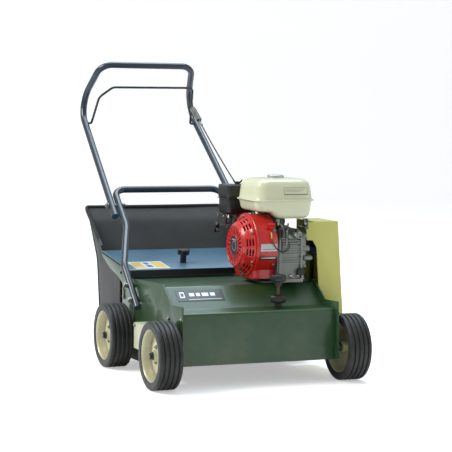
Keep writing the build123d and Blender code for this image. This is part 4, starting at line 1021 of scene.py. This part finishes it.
fasteners("starterScrews", "deck", "zincSteel", ringPlaces(38.6, 87.6, (90, 150, 210, 270, 330, 30), toLeft),
          headSizes(4.2, 4, 5.8, 1))
fasteners("fanHousingScrews", "deck", "zincSteel",
          [(spot(104, 119.5, 444), (0, -0.87, 0.5), 1.0), (spot(104, 119.5, 342), (0, -0.87, -0.5), 1.0),
           (spot(70, 203, 490.2), toTop, 1.0), (spot(104, 245, 480.5), (0, 0.43, 0.9), 1.0)],
          headSizes(4.5, 4, 6.5, 1.2))
fasteners("crankcaseBolts", "deck", "zincSteel",
          [(spot(caseBolts["x"], caseBolts["y"] + side * caseBolts["halfY"],
                 caseBolts["z"] + end * caseBolts["halfZ"]), toRight,
            1.0) for end in (1, -1) for side in (-1, 1)],
          headSizes(5.5, 6, 6.5, 1))
fasteners("footBolts", "deck", "zincSteel",
          [(spot(x, y, 297), toTop, 1.0) for x in (124.5, 194.5) for y in (110, 300)],
          headSizes(6.2, 19, 8.8, 1.8))
for x, tag in ((124, "Left"), (214, "Right")):
    turnedUpright("staySleeve" + tag, "deck", "zincSteel", (x, 134, 458),
                  [(0, 0.1), (0, 6), (2, 7.4), (8, 7.6), (9, 6.2), (20, 6.2), (20, 0.1)], 32)
fasteners("drainPlug", "deck", "zincSteel",
          [(spot(160, 111.4, 305.5), toFront, 1.0), (spot(182, 111.4, 305), toFront, 0.7)],
          headSizes(6.6, 7, 8.5, 1.5))
fasteners("tankBolts", "deck", "zincSteel", [(spot(x, 134, 451), (0, 0, -1), 1.0) for x in (134, 216)],
          headSizes(6.5, 6, 8.5, 1.5))

# cast ribs and bosses on the front of the crankcase
ribs = {"left": 120.0, "right": 192.0, "stand": 5.0, "thick": 2.8,
        "groups": {"Low": (344.0, 7.2, 3), "Middle": (372.0, 7.4, 4), "High": (405.0, 7.3, 3)}}
for tag, (low, pitch, count) in ribs["groups"].items():
    start = spot((ribs["left"] + ribs["right"]) / 2, 112 - ribs["stand"] / 2 + 0.5, low)
    ribValues = {"Count": count, "Start": tuple(start), "Pitch": (0, 0, pitch / 1000),
                 "Size": ((ribs["right"] - ribs["left"]) / 1000, (ribs["stand"] + 1) / 1000,
                          ribs["thick"] / 1000)}
    bars = grown("crankcaseRibs" + tag, ribTree, meshFrom("ribSource", [(0, 0, 0)], []), ribValues,
                 "castAluminium")
    addPiece("crankcaseRibs" + tag, tidyNormals(bars), "deck", "castAluminium")
postValues = {"Count": 2, "Start": tuple(spot(121, 109.5, 364)), "Pitch": (0.0705, 0, 0),
              "Size": (0.006, 0.006, 0.106)}
addPiece("crankcasePosts",
         tidyNormals(grown("crankcasePosts", ribTree, meshFrom("postSource", [(0, 0, 0)], []),
                                             postValues, "castAluminium")), "deck", "castAluminium")
turned("snoutBoss", "deck", "castAluminium", (128, 386),
       [(192, 0.05), (192, 9), (194, 10), (222, 9.4), (224, 8), (224, 0.05)], 48)
turned("snoutBossLow", "deck", "castAluminium", (122, 358),
       [(205, 0.05), (205, 8), (230, 7.4), (232, 6), (232, 0.05)], 48)

# governor rod and arm in front of the case
tube("governorRod", "deck", "zincSteel",
     [spot(132, 108, 424), spot(133, 107, 446), spot(128, 118, 462), spot(122, 150, 474)], 1.4)
tube("governorArm", "deck", "zincSteel",
     [spot(140, 106, 400), spot(141, 104, 424), spot(144, 108, 448), spot(160, 140, 462)], 2.6)
tube("plugLead", "deck", "blackPlastic",
     [spot(118, 116, 452), spot(122, 110, 430), spot(126, 108, 400), spot(124, 110, 372),
                                          spot(122, 116, 352)], 3.2)
bodyBits = headSizes(8, 14, 10, 3, 20)
fasteners("sideBosses", "deck", "castAluminium",
          [(spot(170, 110, 428), toFront, 1.1), (spot(184, 116, 434), toFront, 0.9),
           (spot(150, 112, 424), toFront, 0.8)],
          bodyBits)
tube("fuelHose", "deck", "blackPlastic",
     [spot(130, 250, 478), spot(122, 262, 462), spot(110, 292, 452), spot(86, 318, 440)], 3.6)

# carburettor trim: bowl, control plate, linkage rods and a knobbed lever
turnedUpright("floatBowl", "deck", "castAluminium", (70, 340, 404),
              [(0, 0.1), (0, 14), (1.5, 18), (4, 19.5), (20, 20), (22, 22), (25, 22), (25, 0.1)])
plate("controlPlate", "deck", "zincSteel", spot(16, 304, 480), (0.09, 0, 0), (0, 0.07, 0), 2.0)
plate("controlSide", "deck", "bareSteel", spot(20, 366, 446), (0, -0.062, 0), (0, 0, 0.034), 2.0)
tube("throttleRod", "deck", "zincSteel",
     [spot(24, 312, 470), spot(24, 330, 474), spot(26, 352, 466), spot(30, 362, 448)], 1.3)
tube("throttleStem", "throttle", "zincSteel",
     [spot(34, 346, 452), spot(20, 340, 446), spot(8, 338, 438)], 2.2)
knobProfile = [(-2.5, 0.1), (-3, 5), (0, 7.2), (6, 7.4), (10, 6.2), (12, 3), (12, 0.1)]
turned("throttleKnob", "throttle", "blackPlastic", (337, 431), knobProfile, 40)
turned("throttleTip", "throttle", "zincSteel", (338, 438.5),
       [(1, 0.1), (1, 4), (4, 5.5), (8, 5.2), (10, 0.1)], 32)
fasteners("carbScrews", "deck", "zincSteel",
          [(spot(19.2, 312, 474), toLeft, 0.9), (spot(19.2, 358, 474), toLeft, 0.9),
           (spot(47.4, 324, 440), toLeft, 1.0), (spot(47.4, 356, 436), toLeft, 0.8),
           (spot(70, 315.4, 448), toFront, 1.0)],
          headSizes(4.5, 4, 6, 1, 20))

# air cleaner: seam bead and a wing nut on top
turnedUpright("wingNutHub", "deck", "blackPlastic", (78, 348, 571.5),
              [(0, 0.1), (0, 8), (1.5, 8), (2, 5), (9, 4.4), (10, 3.4), (10, 0.1)], 40)
wing = [[-16, 14], [-15, 15.5], [-8, 9], [-4, 8], [4, 8], [8, 9], [15, 15.5], [16, 14], [12, 6], [5, 1],
        [-5, 1], [-12, 6]]
wingPoints = [spot(78 + x, 348 + side, 572 + z) for side in (-1.8, 1.8) for x, z in wing]
wingFaces = [tuple(range(12)), tuple(reversed(range(12, 24)))] + [(k, (k + 1) % 12, 12 + (k + 1) % 12, 12 + k)
                                                                for k in range(12)]
wingMesh = tidyNormals(meshFrom("wingNut", wingPoints, wingFaces))
addPiece("wingNut", wingMesh, "deck", "blackPlastic")
seamRing = [roundedRing((78, 348), 50 + grow, 46 + grow, 12, z, 96)
            for z, grow in ((528.4, -1), (528.4, 1.1), (529.6, 1.8), (531, 1.1), (531, -1))]
seamMesh = ringLoft("cleanerSeam", [[spot(*p) for p in ring] for ring in seamRing])
addPiece("cleanerSeam", seamMesh, "deck", "blackPlastic")
print("engine trimmed")

# collection bag: a sewn shell with a wrap for bottom and back, and a panel on each side
bag = {"half": 242.0, "cloth": 1.8, "sag": 9.0, "wrinkle": 3.2, "across": 72, "along": 90,
       "deep": 30, "seed": 4.0,
       "profile": [(536, 62), (562, 51), (740, 52), (748, 80), (756, 163), (778, 305),
                   (861, 425), (914, 466)],
       "edge": [(536, 62), (536, 290), (700, 314), (727, 334), (735, 352), (914, 466)],
       "binding": 3.2, "sleeve": 5.6, "stitch": 5.5}


def spread(points, count, rounding=0):
    # points evenly spaced along a polyline, then eased round its corners
    places = [Vector(p) for p in points]
    lengths = [(b - a).length for a, b in zip(places, places[1:])]
    total, out = sum(lengths), []
    for k in range(count):
        want, i = total * k / (count - 1), 0
        while i < len(lengths) - 1 and want > lengths[i]:
            want -= lengths[i]
            i += 1
        out.append(places[i].lerp(places[i + 1], min(1.0, want / lengths[i])))
    for _ in range(rounding):
        out = [out[0]] + [(out[k - 1] + out[k] * 2 + out[k + 1]) / 4 for k in range(1, count - 1)] + [out[-1]]
    return out


def crease(u, v, w, look):
    # long soft folds with a little fine crumple
    here = Vector((u, v, w + look["seed"]))
    return noise.noise(here * 5.0) * 0.7 + noise.noise(here * 13.0) * 0.3


def makeBag(look):
    back = spread(look["profile"], look["along"], 3)
    front = spread(look["edge"], look["along"], 1)
    front[0], front[-1] = back[0], back[-1]
    half, points, faces, cloth = look["half"], [], [], []
    across, along, deep = look["across"], look["along"], look["deep"]
    run = [0.0]
    for a, b in zip(back, back[1:]):
        run.append(run[-1] + (b - a).length)
    for i in range(across + 1):
        u = i / across
        for k in range(along):
            v = k / (along - 1)
            before, after = back[max(0, k - 1)], back[min(along - 1, k + 1)]
            tangent = (after - before).normalized()
            out = Vector((tangent.y, -tangent.x))
            hold = (sin(pi * u) ** 0.6) * min(1.0, 6 * v) * min(1.0, 7 * (1 - v) + 0.15)
            push = look["sag"] * sin(pi * u) * sin(pi * min(1.0, v * 1.05)) * 0.8
            push += look["wrinkle"] * crease(u * 0.5, run[k] / 1000, 0, look) * hold * 1.6
            droop = 5.0 * sin(pi * u) * max(0.0, v - 0.9) * 10
            p = back[k] + out * push
            points.append(spot((2 * u - 1) * half, p.x, p.y - droop))
            cloth.append(((2 * u - 1) * half / 1000, run[k] / 1000))
    for i in range(across):
        for k in range(along - 1):
            a = i * along + k
            faces.append((a, a + 1, a + along + 1, a + along))
    for side in (-1, 1):
        start = len(points)
        for j in range(deep + 1):
            s = j / deep
            for k in range(along):
                v = k / (along - 1)
                p = back[k].lerp(front[k], s)
                hold = min(1.0, 5 * s) * min(1.0, 4 * (1 - s) + 0.1) * sin(pi * v) ** 0.5
                push = look["sag"] * 0.55 * sin(pi * s) * sin(pi * v)
                push += look["wrinkle"] * crease(p.x / 1000, p.y / 1000, 3.0 * side, look) * hold * 1.5
                points.append(spot(side * (half + push), p.x, p.y))
                cloth.append((p.x / 1000, p.y / 1000))
        for j in range(deep):
            for k in range(along - 1):
                a = start + j * along + k
                faces.append((a, a + 1, a + along + 1, a + along))
    mesh = meshFrom("bagShell", points, faces)
    layer = mesh.uv_layers.new(name="cloth")
    for loop in mesh.loops:
        layer.data[loop.index].uv = cloth[loop.vertex_index]
    shell = bmesh.new()
    shell.from_mesh(mesh)
    bmesh.ops.remove_doubles(shell, verts=shell.verts, dist=2e-5)
    bmesh.ops.dissolve_degenerate(shell, edges=shell.edges, dist=1e-6)
    bmesh.ops.recalc_face_normals(shell, faces=shell.faces)
    shell.to_mesh(mesh)
    shell.free()
    # the wrap's middle has to look away from the bag's inside
    middle = spot(0, 650, 250)
    wrong = sum(1 if (f.center - middle).dot(f.normal) < 0 else -1 for f in mesh.polygons)
    if wrong > 0:
        mesh.flip_normals()
    holder = bpy.data.objects.new("bagHolder", mesh)
    scene.collection.objects.link(holder)
    thick = holder.modifiers.new("cloth", "SOLIDIFY")
    thick.thickness = look["cloth"] / 1000
    thick.offset = -1
    addPiece("bagShell", plainMesh(holder), "bag", "bagCloth", ["collection_bag"], 60)
    return back, front


bagBack, bagFront = makeBag(bag)
for side, tag in ((-1, "Left"), (1, "Right")):
    seam = [spot(side * (bag["half"] + 0.6), p.x, p.y) for p in bagBack[::3] + [bagBack[-1]]]
    tube("bagBinding" + tag, "bag", "bindingTape", seam, bag["binding"], 10)
    brim = [spot(side * (bag["half"] + 0.6), p.x, p.y) for p in bagFront[::3] + [bagFront[-1]]]
    tube("bagBrim" + tag, "bag", "bindingTape", brim, bag["binding"] * 0.9, 10)
    middle = Vector((680, 210))
    for suffix, line in (("Back", bagBack), ("Front", bagFront)):
        thread = [spot(side * (bag["half"] + 3.0), *(p + (middle - p).normalized() * 9)) for p in line[::3]]
        mesh = grown("bagStitch" + tag + suffix, stitchTree, curveThrough("thread", thread),
                     {"Pitch": bag["stitch"] / 1000, "Length": 0.0038, "Thickness": 0.0006}, "threadGrey")
        addPiece("bagStitch" + tag + suffix, mesh, "bag", "threadGrey")
sleeveHalf = bag["half"] + 2
sleeve = [spot(-sleeveHalf, 760, 370), spot(-sleeveHalf, 858, 432), spot(-sleeveHalf, 914, 468),
          spot(-sleeveHalf + 20, 914, 468), spot(0, 914, 467), spot(sleeveHalf - 20, 914, 468),
          spot(sleeveHalf, 914, 468), spot(sleeveHalf, 858, 432), spot(sleeveHalf, 760, 370)]
tube("bagSleeve", "bag", "bindingTape", sleeve, bag["sleeve"], 14)
print("bag sewn")

# bail spring: a close-wound coil between two hooked ends
spring = {"top": (177.33, 1025.0, 811.93), "foot": (186.0, 957.7, 754.7), "radius": 8.6, "wire": 1.25,
          "from": 14.0,
          "until": 12.0}


def makeSpring(look):
    top, foot = spot(*look["top"]), spot(*look["foot"])
    line = foot - top
    down = line.normalized()
    long = line.length * 1000 - look["from"] - look["until"]
    turns = long / (2 * look["wire"] * 1.04)
    coil = grown("springCoil", coilTree, meshFrom("coilSource", [(0, 0, 0)], []),
                 {"Coil Radius": look["radius"] / 1000, "Height": long / 1000, "Turns": turns,
                  "Wire Radius": look["wire"] / 1000}, "zincSteel")
    leaning = down.to_track_quat("Z", "Y").to_matrix().to_4x4()
    stand = Matrix.Translation(top + down * look["from"] / 1000) @ leaning
    coil.transform(stand)
    side = down.cross(Vector((1, 0, 0))).normalized()
    hook = []
    for k in range(15):
        a = -0.75 * pi + k * 1.75 * pi / 14
        hook.append(top + (down * sin(-a) + side * cos(a)) * 0.0072)
    start = top + down * (look["from"] / 1000) + side * look["radius"] / 1000
    hookLine = [start] + [top + down * 0.011 + side * 0.004] + hook
    end = top + down * (line.length - look["until"] / 1000)
    tailLine = [end + side * look["radius"] / 1000, end + side * 0.004 + down * 0.002, end + down * 0.006,
                foot - down * 0.001]
    addPiece("springCoil", coil, "bail_spring", "zincSteel", ["bail_spring"], 60)
    tube("springHook", "bail_spring", "zincSteel", hookLine, look["wire"], 10)
    tube("springTail", "bail_spring", "zincSteel", tailLine, look["wire"], 10)


makeSpring(spring)

# clutch cable from the guard's gland up to the spring
cable = {"route": [(274.0, 302.0, 276.0), (187.0, 679.6, 567.9), (186.07, 958.04, 754.99)], "radius": 2.5,
         "length": 0.8188, "from": (0, 600, 500), "until": (0, 800, 640)}


def smoothLine(name, points):
    holder = bpy.data.objects.new(name, curveThrough(name, points, 3, resolution=24))
    scene.collection.objects.link(holder)
    mesh = plainMesh(holder)
    return [v.co.copy() for v in mesh.vertices]


clutchCable = addPiece("clutchCableSleeve", tidyNormals(grown(
    "clutchCableSleeve", tubeTree,
    curveThrough("cableLine", [spot(*p) for p in cable["route"]], 3, resolution=24),
    {"Radius": cable["radius"] / 1000, "Sides": 12}, "blackPlastic"), 1e-7), "deck", "blackPlastic",
                       ["clutch_cable"], 60)
clutchCable.parent = None
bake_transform(clutchCable)
smoothLine("cablePath", [spot(*p) for p in cable["route"]])
fasteners("springEnd", "bail_spring", "zincSteel", [(spot(*spring["foot"]), (0.1, -0.76, -0.64), 1.0)],
          headSizes(4.2, 14, 5, 2, 16))

# stop-switch wire, looped in front of the fan housing
switchRoute = [(92, 111, 440), (90, 104, 430), (91, 102, 414), (108, 101, 386), (128, 101, 377),
               (149, 103, 388), (150, 107, 410), (146, 114, 424)]
tube("switchWire", "deck", "blackPlastic", [spot(*p) for p in switchRoute], 1.5)
tube("switchWireEnd", "deck", "wireYellow",
     [spot(91.5, 109, 438), spot(90, 103.6, 430), spot(90.4, 102.2, 421)], 1.9)

# deck fasteners: guard screws, hook screws, cover screws and plugs in the carrier pins
deckScrew = headSizes(5, 4.5, 8, 1.2)
fasteners("guardScrews", "deck", "zincSteel",
          [(spot(334.1, y, z), (1, 0, 0), 1.0) for y,
           z in ((150, 210), (270, 210), (270, 440), (178, 440), (270, 70))],
          deckScrew)
fasteners("coverScrews", "deck", "zincSteel",
          [(spot(-298.2, 160, 96), toLeft, 0.8), (spot(-298.2, 232, 158), toLeft, 0.8)], deckScrew)
fasteners("hookScrews", "deck", "zincSteel",
          [(spot(side * 248.3, 489, z), (side, 0, 0), 0.8) for side in (-1, 1) for z in (214, 238)],
          deckScrew)
fasteners("plateScrews", "deck", "zincSteel",
          [(spot(side * 248.2, y, z), (side, 0, 0), 1.0) for side in (-1, 1)
           for y, z in ((-36, 90), (-36, 205), (72, 194), (412, 60), (518, 286))], deckScrew)
fasteners("pivotNuts", "deck", "zincSteel",
          [(spot(side * 256.1, 122, 96), (side, 0, 0), 1.3) for side in (-1, 1)], deckScrew)
fasteners("legNuts", "deck", "zincSteel",
          [(spot(side * 277.1, 321 + t * 128, 203 + t * 114), (side, 0, 0), 1.25) for side in (-1, 1)
           for t in (0.15, 0.5)], deckScrew)
fasteners("foldNuts", "grip", "zincSteel",
          [(spot(side * 234.1, 705, 486.33), (side, 0, 0), 1.3) for side in (-1, 1)], deckScrew)
print("fasteners placed")

# studio: pale floor that sweeps up behind, soft lights
studio = {"floor": (248, 248, 248), "sky": (0.93, 0.96, 1.0, 1), "front": -7.0, "wall": 7.0, "depth": 9.0,
          "width": 14.0, "sweep": 1.6, "world": 0.55, "shown": 1.0,
          "floorGlow": 0.42}


def makeStudio(look):
    material, tree, surface = newMaterial("studioFloor")
    surface.inputs["Base Color"].default_value = linear(look["floor"])
    surface.inputs["Roughness"].default_value = 0.9
    surface.inputs["Emission Color"].default_value = (1, 1, 1, 1)
    glow = addNode(tree, "ShaderNodeLightPath").outputs["Is Camera Ray"]
    wire(tree, surface.inputs["Emission Strength"], maths(tree, "MULTIPLY", glow, look["floorGlow"]))
    profile = [(look["front"], 0.0), (look["depth"] - look["sweep"], 0.0)]
    for k in range(1, 13):
        a = k / 12 * pi / 2
        profile.append((look["depth"] - look["sweep"] + look["sweep"] * sin(a), look["sweep"] * (1 - cos(a))))
    profile.append((look["depth"], look["wall"]))
    points = [(x, y, z) for x in (-look["width"], look["width"]) for y, z in profile]
    count = len(profile)
    faces = [(k, k + count, k + count + 1, k + 1) for k in range(count - 1)]
    mesh = meshFrom("studioFloor", points, faces)
    mesh.materials.append(material)
    mesh.shade_smooth()
    floor = bpy.data.objects.new("studioFloor", mesh)
    scene.collection.objects.link(floor)
    world = bpy.data.worlds.new("studioWorld")
    world.use_nodes = True
    sky = world.node_tree.nodes["Background"]
    sky.inputs["Color"].default_value = look["sky"]
    seen = addNode(world.node_tree, "ShaderNodeLightPath").outputs["Is Camera Ray"]
    wire(world.node_tree, sky.inputs["Strength"],
         maths(world.node_tree, "MULTIPLY_ADD", seen, look["shown"] - look["world"], look["world"]))
    scene.world = world


makeStudio(studio)
lights = {"key": {"place": (-3.6, 0.2, 3.8), "size": 2.4, "power": 165, "colour": (1.0, 0.97, 0.92)},
          "top": {"place": (0.6, 1.2, 4.2), "size": 3.4, "power": 150, "colour": (0.72, 0.88, 1.0)},
          "fill": {"place": (3.4, -3.4, 1.6), "size": 2.4, "power": 12, "colour": (1.0, 1.0, 1.0)}}
scene.view_settings.view_transform = "Standard"
for name, look in lights.items():
    data = bpy.data.lights.new(name + "Light", "AREA")
    data.shape = "DISK"
    data.size = look["size"]
    data.energy = look["power"]
    data.color = look["colour"]
    lamp = bpy.data.objects.new(name + "Light", data)
    aim = Vector((0, 0, 0.35)) - Vector(look["place"])
    lamp.matrix_world = Matrix.Translation(look["place"]) @ aim.to_track_quat("-Z", "Y").to_matrix().to_4x4()
    scene.collection.objects.link(lamp)
print("studio lit")

bpy.context.view_layer.update()
